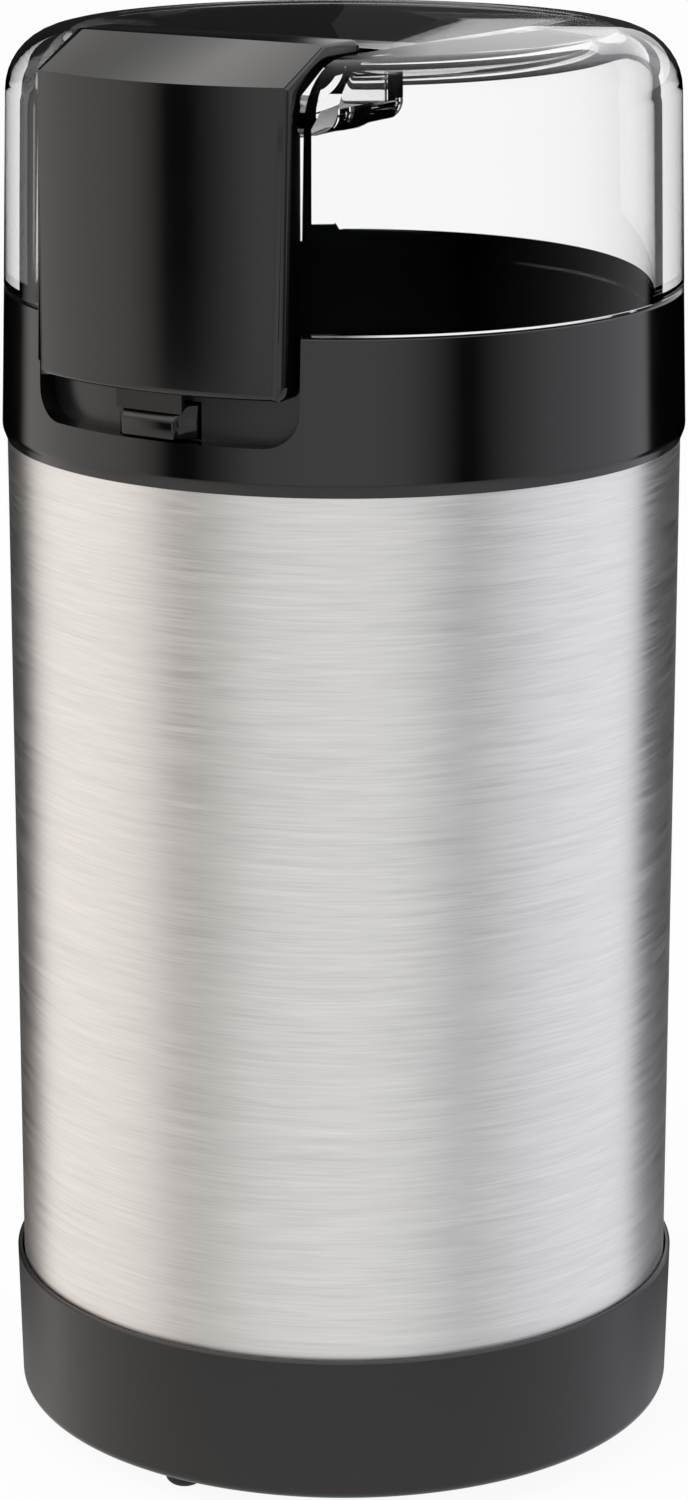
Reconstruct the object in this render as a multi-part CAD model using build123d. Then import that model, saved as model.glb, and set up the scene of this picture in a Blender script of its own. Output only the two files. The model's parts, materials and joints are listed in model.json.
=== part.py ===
from build123d import *
import math
import os

# Electric coffee grinder, millimetres. +Z is up, the origin is under the middle of the feet,
# and the press panel faces -Y.

# Outer sizes
foot_height = 2.9
base_height = 20.0
tube_radius = 45.0
tube_show = 115.3
collar_height = 20.1
lid_height = 33.5
panel_rise = 1.5

# Base housing
base_lip = 0.6
base_taper = 0.45
base_wall = 2.5
base_floor = 2.5
base_edge_round = 1.5
tube_seat_depth = 4.0
pillar_radius = 4.4
pillar_inset = 7.0
screw_well = 5.0
screw_grip = 4.8
leg_seat_height = 20.0
vent_count = 12
vent_width = 2.4
vent_inner = 14.0
vent_outer = 27.0

# Rubber feet
foot_radius = 3.2
foot_bottom_radius = 2.3
foot_inset = 5.6
foot_count = 3
foot_well = 0.8
foot_stem = 2.0
foot_barb = 2.8
foot_tip = 1.6
foot_edge_round = 1.4

# Cord inlet at the back
cord_bore = 3.6
cord_bush_radius = 5.0
cord_flange_radius = 6.2
cord_flange = 1.3
cord_flange_round = 0.4
cord_bush_inside = 1.6

# Body tube
tube_wall = 0.6

# Collar
collar_lip = 0.65
collar_wall = 2.4
collar_edge_round = 2.0
collar_foot_rise = 1.4
rim_bevel = 0.3
rim_overhang = 0.1
spigot_length = 8.0
spigot_wall = 2.0
deck_drop = 24.0
deck_thickness = 2.5

# Recess in the collar and the panel that hangs into it
recess_half_width = 20.0
recess_rise = 6.1
recess_depth = 2.4
recess_corner = 4.3
recess_wall = 2.0

# Press panel
panel_side_gap = 1.1
panel_bottom_rise = 14.5
panel_low_swell = 1.4
panel_high_swell = 0.7
panel_knee_drop = 4.4
panel_top_inset = 11.9
panel_top_depth = 9.4
panel_thickness = 2.2
panel_corner = 2.5
panel_edge_round = 0.9
panel_back_flange = 1.6
panel_back_flange_drop = 1.6
panel_travel = 2.2
post_radius = 2.2
post_spread = 9.0
post_root = 0.5
post_roof = 1.0
pusher_half_width = 5.0
pusher_thickness = 1.4

# Lid
lid_wall = 3.7
lid_top = 2.6
lid_lean = 0.9
lid_shoulder = 8.0
lid_inner_shoulder = 5.2
lid_skirt_depth = 3.2
pocket_drop = 6.4
pocket_floor = 2.8
pocket_back_gap = 2.1
pocket_back_wall = 1.8
pocket_side_wall = 1.5
pocket_corner = 1.5
pocket_bevel = 1.8
backing_wall = 2.2

# Switch tab
tab_half_width = 6.0
tab_face_half_width = 4.5
tab_low_rise = 6.3
tab_face_height = 2.4
tab_face_overhang = 0.2
tab_face_share = 0.3
tab_bevel = 2.0
tab_corner = 0.7
tab_stop_half_width = 7.0
tab_nose = 1.8
chamber_wall = 1.2
chamber_top = 1.2

# Pushrod and switch
rod_radius = 1.4
rod_inset = 4.8
rod_clearance = 1.4
plunger_radius = 1.2
plunger_rise = 3.5
plunger_hidden = 1.2
switch_width = 6.4
switch_length = 16.6
switch_height = 9.0

# Grinding bowl
bowl_wall = 0.8
bowl_flange_width = 2.4
bowl_lip_round = 0.7
bowl_depth = 28.3
bowl_corner = 8.0
bowl_neck_radius = 6.0
bowl_neck_height = 3.5
bowl_neck_round = 0.6
cushion_inner = 21.0
cushion_outer = 25.0
cushion_height = 2.0
seal_flange = 9.0
seal_flange_height = 1.4

# Motor carrier
carrier_plate = 2.5
carrier_wall = 2.0
carrier_hole = 13.0
carrier_window_width = 40.0
carrier_ring_height = 9.0
post_screw_inset = 6.1
post_screw_bite = 10.0
pilot_spare = 2.0
blind_skin = 0.5
carrier_post_radius = 2.9
lug_radius = 4.2
lug_height = 5.5

# Motor
shaft_radius = 3.0
shaft_below = 5.2
shaft_end_round = 0.5
bracket_shaft_hole = 4.5
bracket_plate = 1.6
bracket_length = 56.0
bracket_width = 48.0
bracket_corner = 6.0
ear_end = 6.0
ear_width = 28.0
mount_height = 9.9
mount_radius = 4.5
mount_waist_share = 0.85
mount_inset = 13.0
mount_y = 9.0
bearing_radius = 9.5
bearing_width = 6.0
bearing_cup_wall = 1.3
bearing_groove = 2.0
bearing_groove_depth = 0.6
bush_radius = 6.5
bush_height = 5.5
bush_cup_wall = 1.5
stator_length = 58.0
stator_width = 50.0
stator_corner = 8.0
stack_height = 22.0
stator_bore = 16.5
air_gap = 0.6
slot_half_x = 12.0
slot_half_y = 20.7
coil_half_gap = 3.5
coil_side = 8.0
coil_side_depth = 3.0
coil_turn_inner = 17.2
coil_turn_outer = 21.5
coil_turn_height = 6.0
rotor_slots = 12
rotor_slot_width = 2.2
rotor_slot_depth = 7.5
winding_inner = 4.5
winding_radius = 14.2
winding_height = 7.0
winding_round = 3.0
winding_cover = 0.5
commutator_radius = 9.0
commutator_height = 8.0
commutator_bars = 12
riser_height = 1.0
riser_lip = 0.8
bar_gap = 0.4
bar_gap_depth = 0.8
fan_radius = 22.0
fan_height = 8.0
fan_disc = 1.2
fan_blades = 11
fan_hub = 7.0
fan_above_winding = 2.0
vane_thickness = 1.2
vane_offset = 3.0
vane_turn = 14.0
vane_drop = 1.0
sleeve_above = 20.0
sleeve_below = 18.4
sleeve_radius = 3.4
long_screw_show = 1.0
sleeve_x = 23.5
sleeve_y = 19.5
holder_width = 9.0
holder_height = 10.9
holder_inner = 11.0
holder_outer = 27.0
holder_end_wall = 1.0
brush_size = 5.0
brush_length = 10.7

# Blade and its fixing
hub_radius = 7.0
hub_height = 2.6
blade_thickness = 1.6
blade_gap = 4.0
blade_disc_margin = 1.0
blade_width = 13.0
blade_tip_width = 8.0
blade_tip_turn = 24.0
blade_sweep = 1.0
blade_bend_share = 0.62
blade_tip_narrow = 0.8
blade_tip_thin = 0.7
blade_tip_sweep = 3.0
nut_size = 10.0
nut_height = 4.6
nut_shoulder_radius = 5.8
nut_shoulder_height = 2.8
nut_crown_radius = 4.0
nut_bore_height = 3.7
shaft_in_nut = 3.4

# Suppression capacitor
capacitor_length = 16.0
capacitor_width = 7.0
capacitor_height = 12.0
capacitor_reach = 27.0
capacitor_round = 1.0

# Springs and screws
panel_spring_radius = 2.9
panel_spring_wire = 0.6
panel_spring_turns = 3
brush_spring_radius = 1.9
brush_spring_wire = 0.5
brush_spring_turns = 3
screw_radius = 1.5
screw_head = 2.7
screw_head_height = 2.2
long_screw_radius = 1.6
screw_dome_share = 0.35
screw_slot = 0.8
screw_slot_share = 0.6
panel_screw_radius = 1.1
panel_screw_length = 5.0
panel_screw_head_height = 1.2
panel_washer = 0.8
panel_washer_radius = 4.2

# Clearances
seat_gap = 0.3
bolt_gap = 0.2
shaft_gap = 0.05
cut_through = 5.0
cut_over = 1.0

# Tolerance for picking edges
same_place = 0.01

# Levels
base_bottom = foot_height
base_top = base_bottom + base_height
tube_bottom = base_top - tube_seat_depth
cord_height = tube_bottom - cord_flange_radius - bolt_gap
base_well_top = base_bottom + screw_well
tube_top = base_top + tube_show
rim = tube_top + collar_height
lid_crown = rim + lid_height
panel_top = lid_crown + panel_rise
panel_bottom = tube_top + panel_bottom_rise
panel_knee = panel_top - panel_knee_drop
recess_bottom = tube_top + recess_rise
deck = rim - deck_drop
deck_under = deck - deck_thickness
pocket_level = lid_crown - pocket_drop
bowl_under = deck - bowl_depth
carrier_top = bowl_under - cushion_height
carrier_under = carrier_top - carrier_plate
bracket_top = carrier_under - mount_height
bracket_under = bracket_top - bracket_plate
stack_top = bracket_under - sleeve_above
stack_bottom = stack_top - stack_height
lower_plate_top = stack_bottom - sleeve_below
lower_plate_under = lower_plate_top - bracket_plate
blade_hub_under = bowl_under + bowl_neck_height + seat_gap + bolt_gap
blade_under = blade_hub_under + hub_height
blade_top = blade_under + blade_thickness
tab_bottom = tube_top + tab_low_rise
tab_top = tab_bottom + tab_face_height + tab_bevel
plunger_top = carrier_under + plunger_rise

# Places that follow the tube
pillar_circle = tube_radius - pillar_inset
foot_circle = tube_radius - foot_inset
post_screw_circle = tube_radius - post_screw_inset
rod_reach = tube_radius - rod_inset
bowl_flange = rod_reach - rod_radius - rod_clearance
bowl_radius = bowl_flange - bowl_flange_width
tab_nose_reach = rod_reach - tab_nose
blade_reach = bowl_radius - blade_gap
mount_x = tube_radius - mount_inset
ear_length = 2 * (mount_x + ear_end)
panel_top_reach = tube_radius - panel_top_inset
panel_back_reach = panel_top_reach - panel_top_depth
pocket_back_reach = panel_back_reach - pocket_back_gap

# Radii
base_top_radius = tube_radius + base_lip + seat_gap
base_low_radius = base_top_radius - base_taper
base_inner_radius = base_low_radius - base_wall
cord_flat = (base_inner_radius + base_low_radius) / 2
tube_bore = tube_radius - tube_wall
rim_radius = tube_radius + rim_overhang
collar_foot_radius = tube_radius + collar_lip
collar_bore = rim_radius - collar_wall
spigot_radius = tube_bore - seat_gap
deck_hole = bowl_radius + bowl_wall + seat_gap
recess_floor = rim_radius - recess_depth
recess_inner = recess_floor - recess_wall
panel_inner = recess_floor + seat_gap + tab_face_overhang / 2
panel_low_radius = rim_radius + panel_low_swell
panel_high_radius = rim_radius + panel_high_swell
panel_half_width = recess_half_width - panel_side_gap
backing_radius = panel_inner - seat_gap
tab_face = tube_radius + collar_lip * tab_face_share
carrier_radius = tube_bore - seat_gap
carrier_bore = carrier_radius - carrier_wall
neck_bore = bowl_neck_radius - shaft_gap
rotor_radius = stator_bore - air_gap

# The panel's hollow, whose roof lies one thickness under the chamfer
panel_slope = (panel_top - panel_knee) / (panel_high_radius - panel_top_reach)
panel_roof_drop = panel_thickness * math.sqrt(1 + panel_slope ** 2)
panel_inner_top = panel_top - panel_thickness
panel_inner_knee = panel_knee - panel_roof_drop + (panel_high_radius - panel_inner) * panel_slope
panel_inner_front = panel_top_reach - (panel_roof_drop - panel_thickness) / panel_slope
panel_flange_front = panel_back_reach + panel_back_flange
post_reach = (panel_inner_front + panel_flange_front) / 2

quarter_turns = (45, 135, 225, 315)


def cylinder(radius, low, high, x=0.0, y=0.0):
    """An upright cylinder between two heights."""
    return Pos(x, y, low) * Cylinder(radius, high - low, align=(Align.CENTER, Align.CENTER, Align.MIN))


def ring(outer, inner, low, high, x=0.0, y=0.0):
    """An upright tube between two heights."""
    return cylinder(outer, low, high, x, y) - cylinder(inner, low - cut_through, high + cut_through, x, y)


def block(x_low, x_high, y_low, y_high, z_low, z_high):
    """A box between its lowest and highest corners."""
    size = Box(x_high - x_low, y_high - y_low, z_high - z_low, align=(Align.MIN, Align.MIN, Align.MIN))
    return Pos(x_low, y_low, z_low) * size


def outline(*corners):
    """A closed outline, where a third number rounds its corner."""
    face = make_face(Polyline(*[corner[:2] for corner in corners], close=True))
    for corner in corners:
        if len(corner) > 2:
            nearest = face.vertices().sort_by_distance((corner[0], corner[1], 0))[0]
            face = fillet(nearest, corner[2])
    return face


def turned(*corners):
    """A body turned about the upright axis from an outline in radius and height."""
    return revolve(Plane.XZ * outline(*corners), Axis.Z)


def side_cut(half_width, *corners):
    """A prism across the width from an outline in reach towards the front and height."""
    plane = Plane(origin=(0, 0, 0), x_dir=(0, -1, 0), z_dir=(-1, 0, 0))
    face = plane * outline(*corners)
    return extrude(face, half_width, dir=(1, 0, 0), both=True)


def front_mask(half_width, low, high, corner):
    """The front half of space inside an upright outline with two rounded bottom corners."""
    face = outline((-half_width, low, corner), (half_width, low, corner), (half_width, high),
                   (-half_width, high))
    return extrude(Plane.XZ * face, tube_radius + 2 * cut_through)


def plan_mask(half_width, back_reach, low, high, corner):
    """Everything in front of a back line, with its two back corners rounded in plan."""
    front = tube_radius + 2 * cut_through
    face = outline((-half_width, -front), (half_width, -front), (half_width, -back_reach, corner),
                   (-half_width, -back_reach, corner))
    return Pos(0, 0, low) * extrude(face, high - low)


def screw(head_radius, head_height, shank_radius, length):
    """A pan head screw that points up, with its shank starting at height zero."""
    dome = head_height * screw_dome_share
    body = turned((0, -head_height), (head_radius - dome, -head_height), (head_radius, -head_height + dome),
                  (head_radius, 0), (shank_radius, 0), (shank_radius, length), (0, length))
    half = screw_slot / 2
    return body - block(-head_radius, head_radius, -half, half, -head_height - cut_over,
                        -head_height * screw_slot_share)


def spring(radius, wire, turns, length):
    """A closed-end compression spring that stands on height zero."""
    climb = length - wire
    path = Helix(climb / turns, climb, radius)
    section = Plane(origin=path @ 0, z_dir=path % 0) * RegularPolygon(wire / 2, 6)
    print("spring gap", round(climb / turns - wire, 2))
    return Pos(0, 0, wire / 2) * sweep(section, path, is_frenet=True)


def around(shape, angles):
    """Copies of a shape turned about the upright axis."""
    return [Rot(0, 0, angle) * shape for angle in angles]


def joined(shapes):
    """One part from several shapes."""
    result = shapes[0]
    for shape in shapes[1:]:
        result = result + shape
    return result


def base_housing():
    lip_inner = tube_radius + seat_gap
    shell = turned((0, base_bottom), (base_low_radius, base_bottom, base_edge_round),
                   (base_top_radius, base_top), (lip_inner, base_top), (lip_inner, tube_bottom),
                   (base_inner_radius, tube_bottom), (base_inner_radius, base_bottom + base_floor),
                   (0, base_bottom + base_floor))
    pillar = cylinder(pillar_radius, base_bottom + base_floor / 2, leg_seat_height, pillar_circle)
    shell = shell + around(pillar, quarter_turns)
    head_well = cylinder(screw_head + seat_gap, base_bottom - cut_over, base_well_top, pillar_circle)
    shank_hole = cylinder(screw_radius + bolt_gap, base_bottom, leg_seat_height + cut_over, pillar_circle)
    shell = shell - around(head_well + shank_hole, quarter_turns)
    foot_hole = cylinder(foot_radius + bolt_gap / 2, base_bottom - cut_over, base_bottom + foot_well)
    stem_hole = cylinder(foot_stem + shaft_gap, base_bottom, base_bottom + base_floor + cut_over)
    shell = shell - around(Pos(0, -foot_circle, 0) * (foot_hole + stem_hole), foot_turns())
    slot = Pos((vent_inner + vent_outer) / 2, 0) * SlotOverall(vent_outer - vent_inner, vent_width)
    slot = Pos(0, 0, base_bottom - cut_over) * extrude(slot, base_floor + 2 * cut_over)
    shell = shell - around(slot, [360 * (turn + 0.5) / vent_count for turn in range(vent_count)])
    land_half = cord_flange_radius + seat_gap
    land = block(-land_half, land_half, cord_flat, base_top_radius + cut_over, cord_height - land_half,
                 cord_height + land_half)
    inlet = Cylinder(cord_bush_radius + shaft_gap, 2 * (base_wall + 2 * cut_over))
    inlet = Pos(0, base_inner_radius, cord_height) * Rot(90, 0, 0) * inlet
    return shell - land - inlet


def foot_turns():
    """Turns of the feet about the axis, counted from the front."""
    return [360 * turn / foot_count for turn in range(foot_count)]


def rubber_feet():
    stem_top = base_bottom + base_floor
    foot_top = base_bottom + foot_well
    foot = turned((0, 0), (foot_bottom_radius, 0, foot_edge_round), (foot_radius, foot_top),
                  (foot_stem, foot_top), (foot_stem, stem_top), (foot_barb, stem_top),
                  (foot_tip, stem_top + foot_stem), (0, stem_top + foot_stem))
    return Compound(children=around(Pos(0, -foot_circle, 0) * foot, foot_turns()))


def base_screws():
    length = leg_seat_height - base_well_top + screw_grip
    one = Pos(pillar_circle, 0, base_well_top) * screw(screw_head, screw_head_height, screw_radius, length)
    return Compound(children=around(one, quarter_turns))


def cord_bush():
    inner_end = base_inner_radius - cord_bush_inside
    lathe = Plane(origin=(0, 0, cord_height), x_dir=(0, 0, 1), z_dir=(-1, 0, 0))
    outer_end = cord_flat + cord_flange
    profile = outline((cord_bore, inner_end), (cord_bush_radius, inner_end), (cord_bush_radius, cord_flat),
                      (cord_flange_radius, cord_flat), (cord_flange_radius, outer_end, cord_flange_round),
                      (cord_bore, outer_end))
    return revolve(lathe * profile, Axis((0, 0, cord_height), (0, 1, 0)))


def body_tube():
    return ring(tube_radius, tube_bore, tube_bottom, tube_top)


def chamber_shell():
    """The hood behind the recess that keeps grounds off the tab and the pushrod."""
    inner_half = tab_stop_half_width + seat_gap
    outer_half = inner_half + chamber_wall
    inner_reach = tab_nose_reach - panel_travel - seat_gap
    low = deck + bowl_wall + seat_gap
    high = tab_top + seat_gap + chamber_top
    outside = block(-outer_half, outer_half, -recess_inner - cut_over, -inner_reach + chamber_wall, low, high)
    inside = block(-inner_half, inner_half, -recess_inner - 2 * cut_over, -inner_reach, low - cut_over,
                   tab_top + seat_gap)
    return outside - inside


def collar():
    body = turned((collar_bore, rim - rim_bevel), (collar_bore + rim_bevel, rim),
                  (rim_radius - rim_bevel, rim), (rim_radius, rim - rim_bevel),
                  (collar_foot_radius, tube_top + collar_foot_rise, collar_edge_round),
                  (tube_radius + rim_overhang, tube_top), (spigot_radius, tube_top),
                  (spigot_radius, tube_top - spigot_length),
                  (spigot_radius - spigot_wall, tube_top - spigot_length),
                  (spigot_radius - spigot_wall, deck_under), (deck_hole, deck_under), (deck_hole, deck),
                  (collar_bore, deck))
    backing_half = recess_half_width + pocket_side_wall
    backing = ring(recess_floor + cut_over, recess_inner, deck - deck_thickness / 2, rim)
    body = body + (backing & block(-backing_half, backing_half, -rim_radius, 0, deck_under, rim))
    body = body + chamber_shell()
    recess = front_mask(recess_half_width, recess_bottom, rim + cut_through, recess_corner)
    body = body - (recess - cylinder(recess_floor, deck_under, rim + 2 * cut_through))
    slot_half = tab_half_width + seat_gap
    body = body - block(-slot_half, slot_half, -collar_foot_radius, -recess_inner + recess_wall,
                        tab_bottom - bolt_gap / 2, tab_top + seat_gap)
    body = body - cylinder(rod_radius + seat_gap, deck_under - cut_over, tab_top, 0, -rod_reach)
    post = cylinder(carrier_post_radius, carrier_top, deck_under + deck_thickness / 2, post_screw_circle)
    pilot_top = carrier_top + post_screw_bite + pilot_spare
    pilot = cylinder(screw_radius + shaft_gap, carrier_top - cut_over, pilot_top, post_screw_circle)
    return body + around(post, quarter_turns) - around(pilot, quarter_turns)


def grinding_bowl():
    outer = bowl_radius + bowl_wall
    floor = bowl_under + bowl_wall
    neck_top = bowl_under + bowl_neck_height
    return turned((bowl_flange, deck), (bowl_flange, deck + bowl_wall),
                  (bowl_radius, deck + bowl_wall, bowl_lip_round),
                  (bowl_radius, floor, bowl_corner - bowl_wall),
                  (bowl_neck_radius + bowl_wall, floor, bowl_neck_round),
                  (bowl_neck_radius + bowl_wall, neck_top), (bowl_neck_radius, neck_top),
                  (bowl_neck_radius, bowl_under), (outer, bowl_under, bowl_corner), (outer, deck))


def bowl_cushion():
    return ring(cushion_outer, cushion_inner, carrier_top, bowl_under)


def shaft_seal():
    inner = shaft_radius + shaft_gap
    neck_top = bowl_under + bowl_neck_height
    low = bowl_under - seal_flange_height
    return turned((inner, low), (seal_flange, low), (seal_flange, bowl_under), (neck_bore, bowl_under),
                  (neck_bore, neck_top), (inner, neck_top))


def drive_shaft():
    low = lower_plate_under - shaft_below
    high = blade_top + shaft_in_nut
    return turned((0, low), (shaft_radius, low, shaft_end_round), (shaft_radius, high), (0, high))


def blade_hub():
    return ring(hub_radius, shaft_radius + shaft_gap, blade_hub_under, blade_under)


def blade_section(reach, offset, width, thickness, turn):
    """A section across one arm of the blade, turned about the arm's own line."""
    plane = Plane(origin=(reach, offset, blade_under + blade_thickness / 2), x_dir=(0, 1, 0),
                  z_dir=(1, 0, 0))
    return plane * Rot(0, 0, turn) * Rectangle(width, thickness)


def blade():
    half_root = blade_width / 2
    half_tip = blade_tip_width / 2
    bend = blade_reach * blade_bend_share
    arm = outline((0, -half_root), (bend, -half_tip - blade_sweep), (bend, half_tip - blade_sweep),
                  (0, half_root))
    arm = Pos(0, 0, blade_under) * extrude(arm, blade_thickness)
    root = blade_section(bend, -blade_sweep, blade_tip_width, blade_thickness, 0)
    tip = blade_section(blade_reach, -blade_tip_sweep, blade_tip_width * blade_tip_narrow,
                        blade_thickness * blade_tip_thin, blade_tip_turn)
    arm = arm + loft([root, tip])
    both = arm + Rot(0, 0, 180) * arm
    disc = cylinder(hub_radius + blade_disc_margin, blade_under, blade_top)
    return both + disc - cylinder(shaft_radius + shaft_gap, blade_under - cut_over, blade_top + cut_over)


def blade_nut():
    body = Pos(0, 0, blade_top) * extrude(RegularPolygon(nut_size / 2, 6, major_radius=False), nut_height)
    nut_top = blade_top + nut_height
    dome = turned((0, blade_top), (nut_shoulder_radius, blade_top),
                  (nut_shoulder_radius, blade_top + nut_shoulder_height), (nut_crown_radius, nut_top),
                  (0, nut_top))
    bore = cylinder(shaft_radius + shaft_gap, blade_top - cut_over, blade_top + nut_bore_height)
    return (body & dome) - bore


def motor_carrier():
    plate = ring(carrier_radius, carrier_hole, carrier_under, carrier_top)
    wall = ring(carrier_radius, carrier_bore, leg_seat_height, carrier_top)
    window_low = leg_seat_height + carrier_ring_height
    window_high = carrier_under - carrier_ring_height
    half = carrier_window_width / 2
    reach = carrier_radius + cut_over
    window = block(-half, half, -reach, reach, window_low, window_high)
    wall = wall - window - Rot(0, 0, 90) * window
    lug_top = leg_seat_height + lug_height
    lug = cylinder(lug_radius, leg_seat_height, lug_top, pillar_circle)
    web_end = carrier_bore + carrier_wall / 2
    web = block(pillar_circle, web_end, -lug_radius, lug_radius, leg_seat_height, lug_top)
    body = plate + wall + around(lug + web, quarter_turns)
    pilot_top = leg_seat_height + screw_grip + seat_gap
    pilot = cylinder(screw_radius + shaft_gap, leg_seat_height - cut_over, pilot_top, pillar_circle)
    post_hole = cylinder(screw_radius + bolt_gap, carrier_under - cut_over, carrier_top + cut_over,
                         post_screw_circle)
    body = body - around(pilot + post_hole, quarter_turns)
    rod_hole = cylinder(rod_radius + seat_gap, carrier_under - cut_over, carrier_top + cut_over)
    body = body - Pos(0, -rod_reach, 0) * rod_hole
    mount_hole = cylinder(screw_radius + shaft_gap, carrier_under - cut_over, carrier_top - blind_skin)
    return body - mount_places(mount_hole)


def mount_places(shape):
    """Copies of a shape at the four motor mounts."""
    return [Pos(x, y, 0) * shape for x in (-mount_x, mount_x) for y in (-mount_y, mount_y)]


def sleeve_places(shape):
    """Copies of a shape at the four long motor screws."""
    return [Pos(x, y, 0) * shape for x in (-sleeve_x, sleeve_x) for y in (-sleeve_y, sleeve_y)]


def carrier_screws():
    one = screw(screw_head, screw_head_height, screw_radius, carrier_plate + post_screw_bite)
    one = Pos(post_screw_circle, 0, carrier_under) * one
    return Compound(children=around(one, quarter_turns))


def vibration_mounts():
    waist = mount_radius * mount_waist_share
    one = turned((screw_radius + bolt_gap, bracket_top), (mount_radius, bracket_top),
                 (waist, (bracket_top + carrier_under) / 2), (mount_radius, carrier_under),
                 (screw_radius + bolt_gap, carrier_under))
    return Compound(children=mount_places(one))


def mount_screws():
    length = bracket_plate + mount_height + carrier_plate - 2 * blind_skin
    one = Pos(0, 0, bracket_under) * screw(screw_head, screw_head_height, screw_radius, length)
    return Compound(children=mount_places(one))


def bracket_face(with_ears):
    face = RectangleRounded(bracket_length, bracket_width, bracket_corner)
    if with_ears:
        face = face + RectangleRounded(ear_length, ear_width, bracket_corner)
    return face


def upper_bracket():
    plate = Pos(0, 0, bracket_under) * extrude(bracket_face(True), bracket_plate)
    cup_inner = bearing_radius + shaft_gap
    cup_outer = cup_inner + bearing_cup_wall
    cup_top = bracket_top + bearing_width + bearing_cup_wall
    body = plate + cylinder(cup_outer, bracket_under, cup_top)
    body = body - cylinder(cup_inner, bracket_under - cut_over, cup_top - bearing_cup_wall)
    body = body - cylinder(bracket_shaft_hole, bracket_under, cup_top + cut_over)
    hole = cylinder(long_screw_radius + shaft_gap, bracket_under - cut_over, bracket_top + cut_over)
    mount_hole = cylinder(screw_radius + bolt_gap, bracket_under - cut_over, bracket_top + cut_over)
    return body - sleeve_places(hole) - mount_places(mount_hole)


def upper_bearing():
    low = bracket_top
    high = bracket_top + bearing_width
    middle = (shaft_radius + bearing_radius) / 2
    inner = shaft_radius + shaft_gap
    near = middle - bearing_groove / 2
    far = middle + bearing_groove / 2
    groove_low = low + bearing_groove_depth
    groove_high = high - bearing_groove_depth
    return turned((inner, low), (near, low), (near, groove_low), (far, groove_low), (far, low),
                  (bearing_radius, low), (bearing_radius, high), (far, high), (far, groove_high),
                  (near, groove_high), (near, high), (inner, high))


def lower_bracket():
    plate = Pos(0, 0, lower_plate_under) * extrude(bracket_face(False), bracket_plate)
    cup_inner = bush_radius + shaft_gap
    cup_outer = cup_inner + bush_cup_wall
    cup_low = lower_plate_under - bush_height - bush_cup_wall
    body = plate + cylinder(cup_outer, cup_low, lower_plate_top)
    body = body - cylinder(cup_inner, cup_low + bush_cup_wall, lower_plate_top + cut_over)
    body = body - cylinder(bracket_shaft_hole, cup_low - cut_over, lower_plate_top)
    hole = cylinder(long_screw_radius + bolt_gap, lower_plate_under - cut_over, lower_plate_top + cut_over)
    return body - sleeve_places(hole)


def lower_bearing():
    low = lower_plate_under - bush_height
    return ring(bush_radius, shaft_radius + shaft_gap, low, lower_plate_under)


def stator_core():
    outer = RectangleRounded(stator_length, stator_width, stator_corner)
    window = Circle(stator_bore) + Rectangle(2 * slot_half_x, 2 * slot_half_y)
    body = Pos(0, 0, stack_bottom) * extrude(outer - window, stack_height)
    hole = cylinder(long_screw_radius + bolt_gap, stack_bottom - cut_over, stack_top + cut_over)
    return body - sleeve_places(hole)


def field_coil():
    """The coil round one pole: two sides in the slots and an end turn above and below the stack."""
    low = stack_bottom - coil_turn_height - seat_gap
    high = stack_top + coil_turn_height + seat_gap
    outer = slot_half_y - seat_gap
    inner = outer - coil_side_depth
    far = coil_half_gap + coil_side
    sides = [block(coil_half_gap, far, inner, outer, low, high),
             block(coil_half_gap, far, -outer, -inner, low, high)]
    turn = ring(coil_turn_outer, coil_turn_inner, low, stack_bottom - seat_gap)
    turn = turn + ring(coil_turn_outer, coil_turn_inner, stack_top + seat_gap, high)
    turn = turn & block(coil_half_gap, coil_turn_outer + cut_over, -coil_turn_outer, coil_turn_outer, low,
                        high)
    return joined([turn] + sides)


def field_coils():
    coil = field_coil()
    return Compound(children=[coil, Rot(0, 0, 180) * coil])


def motor_spacers():
    upper = ring(sleeve_radius, long_screw_radius + bolt_gap, stack_top, bracket_under)
    lower = ring(sleeve_radius, long_screw_radius + bolt_gap, lower_plate_top, stack_bottom)
    return Compound(children=sleeve_places(upper) + sleeve_places(lower))


def motor_screws():
    length = bracket_top - lower_plate_under + long_screw_show
    one = Pos(0, 0, lower_plate_under) * screw(screw_head, screw_head_height, long_screw_radius, length)
    return Compound(children=sleeve_places(one))


def rotor_slot_angles():
    return [360 * turn / rotor_slots for turn in range(rotor_slots)]


def rotor_core():
    body = ring(rotor_radius, shaft_radius + shaft_gap, stack_bottom, stack_top)
    half = rotor_slot_width / 2
    slot = block(rotor_radius - rotor_slot_depth, rotor_radius + cut_over, -half, half,
                 stack_bottom - cut_over, stack_top + cut_over)
    return body - around(slot, rotor_slot_angles())


def rotor_winding():
    high = stack_top + winding_height
    low = stack_bottom - winding_height
    top = turned((winding_inner, stack_top), (winding_radius, stack_top),
                 (winding_radius, high, winding_round), (winding_inner, high))
    bottom = turned((winding_inner, low), (winding_radius, low, winding_round),
                    (winding_radius, stack_bottom), (winding_inner, stack_bottom))
    half = rotor_slot_width / 2 - shaft_gap
    bar = block(rotor_radius - rotor_slot_depth + shaft_gap, winding_radius - winding_cover, -half, half,
                stack_bottom - winding_cover, stack_top + winding_cover)
    return joined([top, bottom] + around(bar, rotor_slot_angles()))


def commutator():
    high = stack_bottom - winding_height - seat_gap
    low = high - commutator_height
    body = ring(commutator_radius, shaft_radius + shaft_gap, low, high - riser_height)
    body = body + ring(commutator_radius + riser_lip, shaft_radius + shaft_gap, high - riser_height, high)
    groove = block(commutator_radius - bar_gap_depth, commutator_radius + riser_lip + cut_over,
                   -bar_gap / 2, bar_gap / 2, low - cut_over, high + cut_over)
    return body - around(groove, [360 * (turn + 0.5) / commutator_bars for turn in range(commutator_bars)])


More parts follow.
